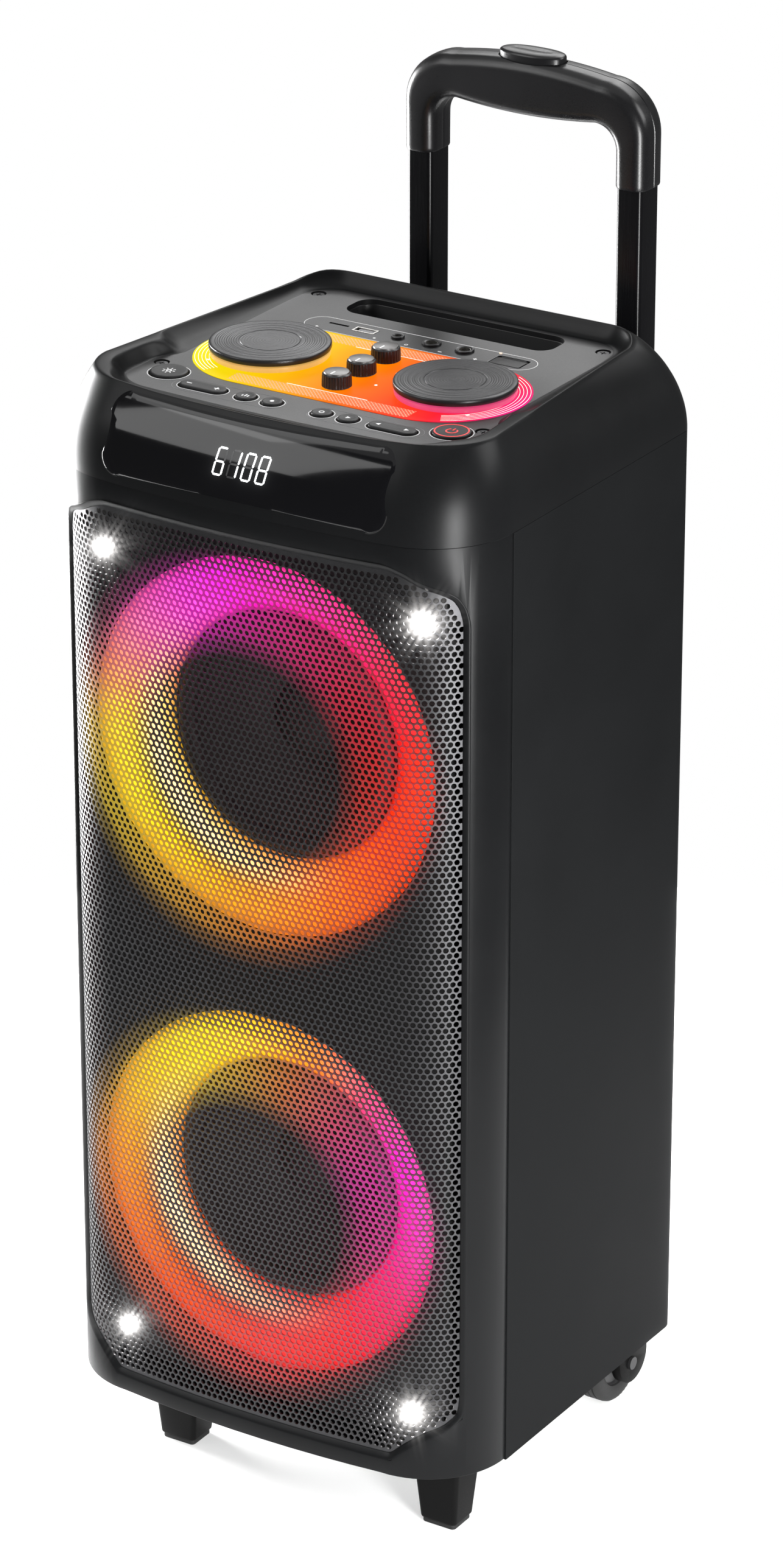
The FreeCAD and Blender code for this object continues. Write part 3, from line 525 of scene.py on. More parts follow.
def arc_strip(cx, cy, r, w, a0, a1, n=40):
    o = ring_pts(cx, cy, r + w / 2, n, a0, a1)
    i = ring_pts(cx, cy, r - w / 2, n, a0, a1)
    return np.vstack([o, i[::-1]])


def bar(x0, y0, x1, y1, w):
    d = np.array([x1 - x0, y1 - y0], float)
    d /= np.linalg.norm(d)
    q = np.array([-d[1], d[0]]) * w / 2
    a, b = np.array([x0, y0]), np.array([x1, y1])
    return np.array([a - q, b - q, b + q, a + q])


def soften(nd, w=0.8, seg=2, ang=32, mats=None, name=None, dissolve=True, flat_faces=False):
    """The CAD node's own shape with its sharp edges rounded, as a moulding has them."""
    src = N[nd]
    bm = bmesh.new()
    bm.from_mesh(src.data)
    bmesh.ops.remove_doubles(bm, verts=bm.verts, dist=1e-6)
    if dissolve:
        bmesh.ops.dissolve_limit(bm, angle_limit=RAD(0.25), use_dissolve_boundaries=False, verts=bm.verts, edges=bm.edges, delimit={"MATERIAL"})
    me = bpy.data.meshes.new(nd + "_tmp")
    bm.to_mesh(me)
    bm.free()
    o = bpy.data.objects.new(nd + "_tmp", me)
    bpy.context.scene.collection.objects.link(o)
    for s in src.material_slots:
        me.materials.append(s.material)
    md = o.modifiers.new("b", "BEVEL")
    md.width = w / 1000.0
    md.segments = seg
    md.limit_method = "ANGLE"
    md.angle_limit = RAD(ang)
    md.use_clamp_overlap = True
    md.miter_outer = "MITER_ARC"
    dg = bpy.context.evaluated_depsgraph_get()
    me2 = bpy.data.meshes.new_from_object(o.evaluated_get(dg))
    bpy.data.objects.remove(o)
    me2.name = name or nd + "_skin"
    if mats is not None:
        me2.materials.clear()
        for m in (mats if isinstance(mats, (list, tuple)) else [mats]):
            me2.materials.append(m)
    me2.shade_smooth()
    me2.set_sharp_from_angle(angle=RAD(40))
    if flat_faces:
        # the large flat faces keep their own normal, so no shading runs across them from the rounded edges
        for f in me2.polygons:
            if max(abs(c) for c in f.normal) > .9999 and f.area > 1.5e-4:
                f.use_smooth = False
    q = bpy.data.objects.new(name or nd + "_skin", me2)
    bpy.context.scene.collection.objects.link(q)
    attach(q, src["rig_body"])
    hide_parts(nd)
    return q


# ------------------------------------------------------------------ body outline
def half_outline(yf, bow, a, rf, hxf, hxb, yb, rb, nf=16, nc=16, ns=26, nr=10, nb=14):
    """Right half from the front centre round to the back centre. The bowed front runs smoothly into the corner arc."""
    th = 0.05
    for _ in range(30):
        th = math.atan(2 * (bow + rf * (1 - math.cos(th))) / (a + rf * math.sin(th)))
    xe, ye = a + rf * math.sin(th), yf + rf * (1 - math.cos(th))
    k = (bow + rf * (1 - math.cos(th))) / xe ** 2
    x = np.linspace(0, xe, nf, endpoint=False)
    P = [np.column_stack([x, yf - bow + k * x * x])]
    t = np.linspace(th, math.pi / 2, nc, endpoint=False)
    P.append(np.column_stack([a + rf * np.sin(t) * (hxf - a) / rf, yf + rf - rf * np.cos(t)]))
    s = np.linspace(0, 1, ns, endpoint=False)
    P.append(np.column_stack([hxf + (hxb - hxf) * s, yf + rf + (yb - rb - yf - rf) * s]))
    t = np.linspace(0, math.pi / 2, nr, endpoint=False)
    P.append(np.column_stack([hxb - rb + rb * np.cos(t), yb - rb + rb * np.sin(t)]))
    x = np.linspace(hxb - rb, 0, nb)
    P.append(np.column_stack([x, np.full(nb, yb)]))
    return np.vstack(P)


def full(P):
    return np.vstack([P, (P[::-1][1:-1]) * (-1, 1)])


B = full(half_outline(-128.6, 5, 88, 52, 140, 140, 118, 12))
T = full(half_outline(-108.0, 5.5, 88, 36, 126.1, 110.3, 116, 24))
Fl = full(half_outline(-88.0, 3.0, 88, 24, 113.0, 101.5, 106.5, 20))
Fl[:, 0] = np.sign(Fl[:, 0]) * np.minimum(np.abs(Fl[:, 0]), 110.6 - 8.4 * sst(Fl[:, 1], -46, -30))
absx, ty = np.abs(T[:, 0]), T[:, 1]
ZT = 679.7 - 0.0245 * (ty + 72)
ZT = np.where(ty < -72, 679.7, ZT)
ZT = ZT + (679.3 - ZT) * sst(ty, 95, 114)                     # the back edge stays level
ZT = ZT - 1.4 * sst(-ty, 92, 108) * (1 - sst(absx, 60, 112))   # the front lip dips a little
band = 1.6 + 6.6 * sst(absx, 96, 116) * sst(-ty, 24, 40)
Z0 = 629.25
D = np.linalg.norm(T - B, axis=1)
PH = 2 * np.arctan2(D, ZT - Z0)
rings = []
NR = 22
for k in range(NR + 1):
    ph = PH * k / NR
    f = (1 - np.cos(ph)) / (1 - np.cos(PH))
    z = Z0 + (ZT - Z0) * np.sin(ph) / np.sin(PH)
    q = B + (T - B) * f[:, None]
    rings.append(np.column_stack([q, z]))
ROLL = np.array(rings)
dirn = (Fl - T)
dl = np.linalg.norm(dirn, axis=1)
Bn = T + dirn * (np.minimum(band, dl * 0.7) / dl)[:, None]
sw = (band - 1.6) / 6.6
# softened crest
crest = [np.column_stack([T + (Bn - T) * 0.12, ZT + 0.22])]
for v in (0.35, 0.65, 0.9):
    crest.append(np.column_stack([T + (Bn - T) * v, ZT + 0.25 + 0.10 * math.sin(math.pi * v)]))
for u in np.linspace(0, 1, 15):
    pr = (1 - sw) * (1 - u) ** 2.1 + sw * (1 - (u * u * (3 - 2 * u)))
    crest.append(np.column_stack([Bn + (Fl - Bn) * u, 671.0 + (ZT + 0.15 - 671.0) * pr]))
rings += crest
cen = np.array([0.0, -5.0])
shrink = lambda P, d: P - d * (P - cen) / np.linalg.norm(P - cen, axis=1)[:, None]
rings.append(np.column_stack([shrink(Fl, 1.2), np.full(len(B), 670.7)]))
rings.append(np.column_stack([shrink(Fl, 1.4), np.full(len(B), 668.4)]))
for kk in (18, 14, 10, 6, 0):
    p = ROLL[kk].copy()
    p[:, :2] = shrink(p[:, :2], 3.4)
    p[:, 2] = np.minimum(p[:, 2] - (1.6 if kk else 0), 666.5)
    rings.append(p)
rings[-1][:, 2] = Z0
V, F = loft(rings, close=True)
top = make("top_housing_shell", V, F, MAT["case_plastic"], "cabinet", ["top_housing"], "case_plastic", sharp=60, recalc=True)


KB = (B[15, 1] - B[0, 1]) / B[15, 0] ** 2
KT = (T[15, 1] - T[0, 1]) / T[15, 0] ** 2
PH0, ZT0 = PH[0], ZT[0]


def surf_y(x, z):
    """Y of the rolled front at X, Z, across the bowed part."""
    ph = np.arcsin(np.clip((z - Z0) / (ZT0 - Z0) * math.sin(PH0), 0, 1))
    f = (1 - np.cos(ph)) / (1 - math.cos(PH0))
    yb, yt = B[0, 1] + KB * x * x, T[0, 1] + KT * x * x
    return yb + (yt - yb) * f


def on_roll(off):
    def f(p):
        x, z = p[:, 0], p[:, 1]
        y = surf_y(x, z)
        e = 0.6
        dydx = (surf_y(x + e, z) - surf_y(x - e, z)) / (2 * e)
        dydz = (surf_y(x, z + e) - surf_y(x, z - e)) / (2 * e)
        n = np.column_stack([dydx, -np.ones(len(x)), dydz])
        n /= np.linalg.norm(n, axis=1)[:, None]
        return np.column_stack([x, y, z]) + n * off
    return f


# display lens, in a thin seam
lens_out = rr_pts(-91, 91, 634.2, 677.2, 10.5, 10)
gx, gz = np.meshgrid(np.arange(-88, 89, 4.0), np.arange(636.5, 676, 2.6))
st = np.column_stack([gx.ravel(), gz.ravel()])
inn = rr_pts(-89.6, 89.6, 635.6, 675.8, 9.4, 10)
st = st[inside(st, [inn])]
v2, f2 = tri2d([lens_out], np.vstack([st, rr_pts(-90.3, 90.3, 634.9, 676.5, 10, 10)]))
edge = inside(v2, [rr_pts(-90.6, 90.6, 634.6, 676.8, 10.2, 10)])
fr = lambda p: on_roll(0.45)(p) if len(p) != len(v2) else np.where(edge[:, None], on_roll(0.55)(p), on_roll(0.15)(p))
V, F = plate(v2, f2, fr, on_roll(-1.2))
make("display_lens_cover", V, F, MAT["lens_black"], "cabinet", ["display_lens"], "lens_black", sharp=50)
seam_o = rr_pts(-91.7, 91.7, 633.5, 677.9, 11.2, 12)
seam_i = rr_pts(-91.05, 91.05, 634.15, 677.25, 10.55, 12)
v2b, f2b = tri2d([seam_o, seam_i])
make("display_seam", *plate(v2b, f2b, on_roll(0.06), on_roll(-0.6)), MAT["inner_black"], "cabinet", slot="inner_black", sharp=50)

SEG = {"a": ((0, 1), (1, 1)), "b": ((1, 1), (1, .5)), "c": ((1, .5), (1, 0)), "d": ((0, 0), (1, 0)), "e": ((0, .5), (0, 0)), "f": ((0, 1), (0, .5)), "g": ((0, .5), (1, .5))}
NUM = {"0": "abcdef", "1": "bc", "2": "abged", "3": "abgcd", "4": "fgbc", "5": "afgcd", "6": "afgecd", "7": "abc", "8": "abcdefg", "9": "abcfgd"}
lit, dim = [], []
for i, ch in enumerate("6108"):
    x0 = -15.4 + i * 9.1
    w, h, zb, tk = 5.4, 13.6, 648.6, 0.95
    for sgm, (p, q) in SEG.items():
        a = np.array([x0 + p[0] * w, zb + p[1] * h])
        b = np.array([x0 + q[0] * w, zb + q[1] * h])
        d = (b - a) / np.linalg.norm(b - a)
        nn = np.array([-d[1], d[0]])
        a, b = a + d * 0.25, b - d * 0.25
        hexa = np.array([a, a + d * tk / 2 - nn * tk / 2, b - d * tk / 2 - nn * tk / 2, b, b - d * tk / 2 + nn * tk / 2, a + d * tk / 2 + nn * tk / 2])
        hexa[:, 0] += (hexa[:, 1] - 655.5) * 0.14
        vv, ff = tri2d([hexa])
        (lit if sgm in NUM[ch] else dim).append(plate(vv, ff, on_roll(0.66 if sgm in NUM[ch] else 0.62), on_roll(0.40)))
V, F, _ = join(lit)
make("display_digits_lit", V, F, DIGIT, "cabinet", slot="lens_black", sharp=30)
V, F, _ = join(dim)
make("display_digits_off", V, F, SEG_OFF, "cabinet", slot="lens_black", sharp=30)

# ------------------------------------------------------------------ grille
NOTCH = np.array([(94, 72.5), (103, 81), (113, 88.5), (123, 93.5), (129.3, 101), (130.5, 110), (130.5, 585), (129, 594), (126, 600.5), (120, 605), (110, 609), (101.6, 614), (92, 617)])


def notch_loop(inset, chaikin=2, dense=True):
    P = np.vstack([NOTCH, (NOTCH[::-1]) * (-1, 1)])
    # inset by moving each edge inwards
    n = len(P)
    out = []
    for i in range(n):
        a, b, c = P[i - 1], P[i], P[(i + 1) % n]
        d1, d2 = (b - a) / np.linalg.norm(b - a), (c - b) / np.linalg.norm(c - b)
        n1, n2 = np.array([-d1[1], d1[0]]), np.array([-d2[1], d2[0]])
        k = n1 + n2
        out.append(b + k * inset / (1 + n1 @ n2))
    P = np.array(out)
    for _ in range(chaikin):
        Q = []
        for i in range(len(P)):
            a, b = P[i], P[(i + 1) % len(P)]
            L = np.linalg.norm(b - a)
            k = min(0.2, 2.2 / L)
            Q += [a + (b - a) * k, b - (b - a) * k]
        P = np.array(Q)
    if dense:
        Q = []
        for i in range(len(P)):
            a, b = P[i], P[(i + 1) % len(P)]
            m = max(1, int(np.linalg.norm(b - a) / 4.0))
            Q += [a + (b - a) * j / m for j in range(m)]
        P = np.array(Q)
    return P


def front_surf(x, off):
    """Y of the front plan at offset off for a given X."""
    x = np.asarray(x, float)
    R = 52 - off
    s = np.sign(x)
    ax = np.abs(x)
    bow = 5.0 * 1.0
    xe = 88 + R * math.sin(0.112)
    ye = -76.6 - R * math.cos(0.112)
    k = math.tan(0.112) / (2 * xe)
    yb = ye + k * (ax * ax - xe * xe)
    ang = np.arcsin(np.clip((ax - 88) / R, -1, 1))
    yc = -76.6 - R * np.cos(ang)
    y = np.where(ax < xe, yb, yc)
    return y


def arc_table(off):
    xs = np.concatenate([np.linspace(0, 88 + (52 - off) * math.sin(0.112), 200, endpoint=False), 88 + (52 - off) * np.sin(np.linspace(0.112, 1.35, 400))])
    ys = front_surf(xs, off)
    s = np.concatenate([[0], np.cumsum(np.hypot(np.diff(xs), np.diff(ys)))])
    return s, xs, ys


S_T, X_T, Y_T = arc_table(3.2)
NX, NY = np.gradient(X_T, S_T), np.gradient(Y_T, S_T)


def sheet_map(depth):
    def f(p):
        s, z = p[:, 0], p[:, 1]
        a = np.abs(s)
        x, y = np.interp(a, S_T, X_T), np.interp(a, S_T, Y_T)
        tx, tyy = np.interp(a, S_T, NX), np.interp(a, S_T, NY)
        l = np.hypot(tx, tyy)
        nx, ny = tyy / l, -tx / l     # outward
        return np.column_stack([(x - nx * depth) * np.sign(s + 1e-12), y - ny * depth, z])
    return f


go = notch_loop(0.5)
go = np.column_stack([np.sign(go[:, 0]) * np.interp(np.abs(go[:, 0]), X_T, S_T), go[:, 1]])
gi = notch_loop(3.0)
gi = np.column_stack([np.sign(gi[:, 0]) * np.interp(np.abs(gi[:, 0]), X_T, S_T), gi[:, 1]])
PITCH, ROW, HR = 4.0, 3.482, 1.6
ZS = 78.0
nrows = int((613 - ZS) / ROW)
HN = 12
unit = [(math.cos(2 * math.pi * (i + 0.5) / HN - math.pi / 2), math.sin(2 * math.pi * (i + 0.5) / HN - math.pi / 2)) for i in range(HN)]
# hexagonal cells of the staggered pattern, with a round hole in each
hexr = [(0.0, -2 * ROW / 3), (PITCH / 2, -ROW / 3), (PITCH / 2, ROW / 3), (0.0, 2 * ROW / 3), (-PITCH / 2, ROW / 3), (-PITCH / 2, -ROW / 3)]
hol = [(HR * math.cos(-math.pi / 2 + 2 * math.pi * i / HN), HR * math.sin(-math.pi / 2 + 2 * math.pi * i / HN)) for i in range(HN)]


def clip(P, lo, hi):
    for sgn, val in ((1, lo), (-1, hi)):
        Q = []
        for i in range(len(P)):
            a, b = P[i], P[(i + 1) % len(P)]
            ia, ib = sgn * (a[1] - val) >= 0, sgn * (b[1] - val) >= 0
            if ia:
                Q.append(a)
            if ia != ib:
                t = (val - a[1]) / (b[1] - a[1])
                Q.append(a + (b - a) * t)
        P = np.array(Q)
    return P


def tri_area(v, f):
    A = v[f]
    return (A[:, 1, 0] - A[:, 0, 0]) * (A[:, 2, 1] - A[:, 0, 1]) - (A[:, 2, 0] - A[:, 0, 0]) * (A[:, 1, 1] - A[:, 0, 1])


def grille_sheet():
    """The whole perforated sheet flat: vertices, triangles and the height of each triangle's row."""
    cells = []
    for r in range(nrows):
        z = ZS + (r + 0.5) * ROW
        sh = 0.0 if r % 2 == 0 else PITCH / 2
        for c in range(-40, 41):
            cells.append((c * PITCH + sh, z, r))
    cells = np.array(cells)
    row = cells[:, 2].astype(int)
    cells = cells[:, :2]
    ok = np.ones(len(cells), bool)
    for hx, hz in hexr:
        ok &= inside(cells + (hx, hz), [gi])
    cells, row = cells[ok], row[ok]
    nc = len(cells)
    Hx = (cells[:, None, :] + np.array(hexr)[None]).reshape(-1, 2)
    Ho = (cells[:, None, :] + np.array(hol)[None]).reshape(-1, 2)
    _, first, inv = np.unique(np.round(Hx * 500).astype(np.int64), axis=0, return_index=True, return_inverse=True)
    inv = inv.reshape(-1)
    Hu = Hx[first]
    nu = len(Hu)
    hid = inv.reshape(nc, 6)
    oid = nu + np.arange(nc * HN).reshape(nc, HN)
    tris = []
    for k in range(6):
        a, b = hid[:, k], hid[:, (k + 1) % 6]
        h0, h1, h2 = oid[:, (2 * k) % HN], oid[:, (2 * k + 1) % HN], oid[:, (2 * k + 2) % HN]
        tris += [np.column_stack([a, b, h1]), np.column_stack([a, h1, h0]), np.column_stack([b, h2, h1])]
    rows = np.concatenate([row] * len(tris))
    faces = np.vstack(tris)
    cnt = {}
    for k in range(6):
        for a, b in zip(hid[:, k].tolist(), hid[:, (k + 1) % 6].tolist()):
            cnt[(a, b)] = 1
    bd = [(a, b) for (a, b) in cnt if (b, a) not in cnt]
    used = sorted({i for e in bd for i in e})
    mp = {g: i for i, g in enumerate(used)}
    pts = [Vector(tuple(Hu[g])) for g in used] + [Vector(tuple(p)) for p in go]
    n2 = len(used)
    edges = [(mp[a], mp[b]) for a, b in bd] + [(n2 + i, n2 + (i + 1) % len(go)) for i in range(len(go))]
    v, e, f, *_ = delaunay_2d_cdt(pts, edges, [], 0, 1e-6)
    v = np.array([(p.x, p.y) for p in v])
    f = np.array([q for q in f if len(q) == 3])
    mid = v[f].mean(1)
    par = np.zeros(len(mid), bool)
    for a, b in bd:
        (a0, b0), (a1, b1) = Hu[a], Hu[b]
        if b0 != b1:
            par ^= ((b0 > mid[:, 1]) != (b1 > mid[:, 1])) & (mid[:, 0] < (a1 - a0) * (mid[:, 1] - b0) / (b1 - b0) + a0)
    f = f[inside(mid, [go]) & ~par]
    ar = tri_area(v, f)
    f, ar = f[np.abs(ar) > 1e-9], ar[np.abs(ar) > 1e-9]
    f[ar < 0] = f[ar < 0][:, ::-1]
    rf = np.clip(((v[f].mean(1)[:, 1] - ZS) / ROW).astype(int), 0, nrows - 1)
    allv = np.vstack([Hu, Ho, v])
    faces = np.vstack([faces, f + nu + nc * HN])
    rows = np.concatenate([rows, rf])
    _, first, inv = np.unique(np.round(allv * 500).astype(np.int64), axis=0, return_index=True, return_inverse=True)
    inv = inv.reshape(-1)
    faces = inv[faces]
    bad = (faces[:, 0] == faces[:, 1]) | (faces[:, 1] == faces[:, 2]) | (faces[:, 2] == faces[:, 0])
    return allv[first], faces[~bad].astype(np.int64), rows[~bad]


def grille_piece(name, v2, faces):
    used, inv = np.unique(faces, return_inverse=True)
    v2, faces = v2[used], inv.reshape(faces.shape).astype(np.int64)
    n = len(v2)
    E = np.vstack([faces[:, [0, 1]], faces[:, [1, 2]], faces[:, [2, 0]]])
    open_ = E[~np.isin(E[:, 0] * n + E[:, 1], E[:, 1] * n + E[:, 0])]
    a, b = open_[:, 0], open_[:, 1]
    allf = np.vstack([faces, faces[:, ::-1] + n, np.column_stack([b, a, a + n]), np.column_stack([b, a + n, b + n])])
    V = np.vstack([sheet_map(0.0)(v2), sheet_map(1.0)(v2)])
    me = bpy.data.meshes.new(name)
    me.vertices.add(len(V))
    me.vertices.foreach_set("co", M(V).astype(np.float32).ravel())
    me.loops.add(len(allf) * 3)
    me.loops.foreach_set("vertex_index", allf.astype(np.int32).ravel())
    me.polygons.add(len(allf))
    me.polygons.foreach_set("loop_start", np.arange(0, len(allf) * 3, 3, dtype=np.int32))
    me.materials.append(MAT["grille_steel"])
    me.update(calc_edges=True)
    me.validate()
    me.shade_smooth()
    me.set_sharp_from_angle(angle=RAD(40))
    o = bpy.data.objects.new(name, me)
    bpy.context.scene.collection.objects.link(o)
    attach(o, "cabinet")
    print(name, len(allf))
    return o


gv, gf, grow = grille_sheet()
bands = [grille_piece("grille_part_%d" % (i + 1), gv, gf[(grow >= nrows * i // 4) & (grow < nrows * (i + 1) // 4)]) for i in range(4)]
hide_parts("grille")

# moulded lip round the grille opening
lip = []
L0 = notch_loop(-0.3)
nl = len(L0)
prev, nxt = np.roll(L0, 1, 0), np.roll(L0, -1, 0)
tg = nxt - prev
tg /= np.linalg.norm(tg, axis=1)[:, None]
inn2 = np.column_stack([-tg[:, 1], tg[:, 0]])


def lip_ring(ins, off):
    p = L0 + inn2 * ins
    y = front_surf(p[:, 0], off)
    return np.column_stack([p[:, 0], y, p[:, 1]])


rgs = [lip_ring(-0.6, 1.6), lip_ring(0.0, 0.45), lip_ring(0.5, 0.55), lip_ring(1.6, 1.15), lip_ring(3.4, 2.45), lip_ring(3.9, 2.95), lip_ring(3.95, 3.4), lip_ring(3.4, 4.4), lip_ring(0.2, 4.4)]
V, F = loft(rgs, close=True)
make("grille_lip", V, F, MAT["case_plastic"], "cabinet", slot="case_plastic", sharp=55, recalc=True)

# ------------------------------------------------------------------ softened mouldings
soften("front_frame", 0.9, 2)
soften("cabinet_shell", 1.1, 3)
soften("back_panel", 0.8, 2, flat_faces=True)
soften("handle_housing", 1.6, 3, flat_faces=True)
soften("handle_collars", 0.6, 2)
soften("handle_legs", 1.0, 3)
soften("wheel_brackets", 0.8, 2)
soften("front_feet", 1.4, 3)
soften("foot_pads", 0.6, 2)

# the little hinged cover over the charging inlet, thinned towards its hinge so that it swings clear of the pocket
prof = np.array([(45.6, 670.1), (45.6, 671.05), (45.85, 671.3), (54.3, 671.3), (57.1, 670.62), (57.1, 670.1)])
V, F = [], []
for i, (x, g) in enumerate(((49.0, .35), (49.35, 0), (67.65, 0), (68.0, .35))):
    c = prof.mean(0)
    q = c + (prof - c) * np.array([1 - g / 5.8, 1 - g * .5])
    V.append(np.column_stack([np.full(6, x), q]))
V = np.vstack(V)
for i in range(3):
    for j in range(6):
        F.append((i * 6 + j, i * 6 + (j + 1) % 6, i * 6 + 6 + (j + 1) % 6, i * 6 + 6 + j))
F += [tuple(range(5, -1, -1)), tuple(range(18, 24))]
aa = np.linspace(0, 2 * math.pi, 20, endpoint=False)
BV = np.vstack([np.column_stack([np.full(20, x), 57.6 + .62 * np.cos(aa), 670.5 + .62 * np.sin(aa)]) for x in (50.5, 66.5)])
BF = [(j, (j + 1) % 20, 20 + (j + 1) % 20, 20 + j) for j in range(20)] + [tuple(range(19, -1, -1)), tuple(range(20, 40))]
BB = np.vstack([np.column_stack([[x] * 4, (56.6, 57.7, 57.7, 56.6), (670.15, 670.15, 670.6, 670.6)]) for x in (52.0, 65.0)])
BG = [(0, 1, 5, 4), (1, 2, 6, 5), (2, 3, 7, 6), (3, 0, 4, 7), (3, 2, 1, 0), (4, 5, 6, 7)]
V, F = join([(V, F), (BV, BF), (BB, BG)])[:2]
dcs = N["dc_cover"].material_slots[0].material
make("dc_cover_leaf", V, F, dcs, "dc_flap", ["dc_cover"], [k for k in MAT if MAT[k] is dcs][0], sharp=30, recalc=True)
soften("tablet_pocket", 0.3, 2)

# ------------------------------------------------------------------ jog discs, knobs, keys
for sx, nm in ((-1, "left"), (1, "right")):
    prof = [(0, 675.3), (33.2, 675.3), (34.0, 675.7), (34.3, 676.4), (34.3, 678.3), (34.0, 678.95), (33.3, 679.3), (31.4, 679.3)]
    r = 31.4
    while r > 19.0:
        prof += [(r - 0.25, 679.21), (r - 0.5, 679.21), (r - 0.75, 679.3), (r - 1.3, 679.3)]
        r -= 1.3
    prof += [(17.6, 679.3), (17.4, 679.05), (16.9, 679.05), (16.7, 679.3)]
    r = 16.7
    while r > 3.0:
        prof += [(r - 0.3, 679.24), (r - 0.6, 679.24), (r - 0.9, 679.28), (r - 1.6, 679.28)]
        r -= 1.6
    prof += [(1.0, 679.2), (0, 679.18)]
    V, F = lathe(prof, (sx * 60.3, -7.4, 0), segs=128)
    jm = surf("jog_turned_" + nm, (.022, .022, .0235), .32, metal=.45, grain=1200, bump=.25, dist=.00004, extra=radial_lines(sx * .0603, (-7.4 + YS) / 1000, .00055, .8))
    make("jog_disc_%s_turned" % nm, V, F, jm, "jog_" + nm, ["jog_disc_" + nm], "jog_cap", sharp=30)
    prof = [(0, 671.5), (33.0, 671.5), (33.6, 671.9), (33.9, 673.2), (33.7, 674.5), (33.2, 674.85), (0, 674.85)]
    V, F = lathe(prof, (sx * 60.3, -7.4, 0), segs=96)
    gm = surf("jog_glow_" + nm, (.3, .2, .1) if sx < 0 else (.3, .05, .1), .2, grain=300, bump=.05, coat=.6,
              emis=((1, .55, .12) if sx < 0 else (1, .08, .25)), emis_k=.55)
    o = make("jog_base_%s_glow" % nm, V, F, gm, "cabinet", slot="jog_glow", sharp=40)
    if sx < 0:
        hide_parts("jog_bases")

for nm, y in (("front", -33.0), ("middle", -8.0), ("rear", 17.0)):
    NF = 26

    def fl(th, r, h):
        k = 0.32 * (0.5 + 0.5 * math.cos(NF * th)) if (r > 7.9 and 672.3 < h < 679.0) else 0.0
        return r - k
    prof = [(0, 671.85), (7.9, 671.85), (8.35, 672.2), (8.35, 672.4), (8.3, 675.5), (8.15, 678.6), (8.0, 679.1), (7.5, 679.5), (7.2, 679.6)]
    V1, F1 = lathe(prof + [(7.15, 679.75), (6.95, 680.3), (6.6, 680.4), (0, 680.4)], (0, y, 0), segs=NF * 6, mod=fl)
    k1 = [0 if max(V1[i][2] for i in f) < 679.65 else 1 for f in F1]
    V2, F2 = slab([rr_pts(-0.45, 0.45, y - 6.3, y - 1.6, 0.4, 4)], 680.35, 680.62)
    V, F, K = join([(V1, F1, 0), (V2, F2, 2)])
    K = k1 + [2] * len(F2)
    make("knob_%s_cap" % nm, V, F, [MAT["knob_metal"], CAP, PRINT_PAINTED_GLOW], "knob_%s_body" % nm, ["knob_" + nm], "knob_metal", sharp=32, fmat=K)


def icon(kind, x, y, s=1.0):
    """Plain marks as flat loops; each entry is a list of loops, the first outer and the rest holes."""
    L = []
    if kind == "power":
        L.append([arc_strip(x, y, 3.1 * s, .75, 125, 415, 40)])
        L.append([bar(x, y + 1.0 * s, x, y + 4.0 * s, .75)])
    elif kind == "sun":
        L.append([ring_pts(x, y, 1.7 * s, 24), ring_pts(x, y, 1.05 * s, 24)])
        for a in range(0, 360, 45):
            c, q = math.cos(RAD(a)), math.sin(RAD(a))
            L.append([bar(x + c * 2.5 * s, y + q * 2.5 * s, x + c * 3.9 * s, y + q * 3.9 * s, .5)])
    elif kind == "bars":
        for i, h in enumerate((1.6, 3.0, 2.2)):
            L.append([bar(x - 1.7 + i * 1.7, y - 1.6, x - 1.7 + i * 1.7, y - 1.6 + h, .7)])
    elif kind == "dot":
        L.append([ring_pts(x, y, 1.5 * s, 24)])
    elif kind == "ring":
        L.append([ring_pts(x, y, 2.0 * s, 28), ring_pts(x, y, 1.4 * s, 28)])
    elif kind == "tri":
        L.append([np.array([(x - 1.4 * s, y - 1.7 * s), (x + 1.9 * s, y), (x - 1.4 * s, y + 1.7 * s)])])
    elif kind == "tril":
        L.append([np.array([(x + 1.4 * s, y + 1.7 * s), (x - 1.9 * s, y), (x + 1.4 * s, y - 1.7 * s)])])
    elif kind == "plus":
        a, b = 2.0 * s, .35
        L.append([np.array([(x - a, y - b), (x - b, y - b), (x - b, y - a), (x + b, y - a), (x + b, y - b), (x + a, y - b), (x + a, y + b), (x + b, y + b), (x + b, y + a), (x - b, y + a), (x - b, y + b), (x - a, y + b)])])
    elif kind == "minus":
        L.append([bar(x - 2.0 * s, y, x + 2.0 * s, y, .7)])
    return L


def prints(items, z0, z1):
    return [slab(l, z0, z1) for l in items]


KEYS = [("led", -91, -62, 11.0, "sun"), ("power", 91, -61, 11.0, "power"), ("eq", -33, -73, 6.2, "bars"), ("rec", -16, -73, 6.2, "dot"), ("mode", 16, -73, 6.2, "ring"), ("scan", 33, -73, 6.2, "tri")]
for nm, x, y, r, ic in KEYS:
    prof = [(0, 669.6), (r - 0.5, 669.6), (r - 0.32, 670.2), (r - 0.32, 671.7), (r - 0.5, 672.1), (r - 0.95, 672.35), (r - 1.6, 672.4), (r * 0.6, 672.18), (r * 0.3, 672.08), (0, 672.05)]
    V1, F1 = lathe(prof, (x, y, 0), segs=72)
    ring_m = REDLIT if nm == "power" else PRINT_PAINTED_GLOW
    parts = [(V1, F1, 0)]
    zi = 672.22
    for p in prints(icon(ic, x, y, 1.0 if r > 10 else .8), 672.0, zi):
        parts.append((p[0], p[1], 1))
    if nm == "power":
        p = slab([ring_pts(x, y, 9.7, 64), ring_pts(x, y, 8.9, 64)], 672.2, 672.46)
        parts.append((p[0], p[1], 1))
    V, F, K = join(parts)
    make("%s_button_key" % nm, V, F, [MAT["button_rubber"], ring_m], nm + "_key", [nm + "_button"], "button_rubber", sharp=32, fmat=K)

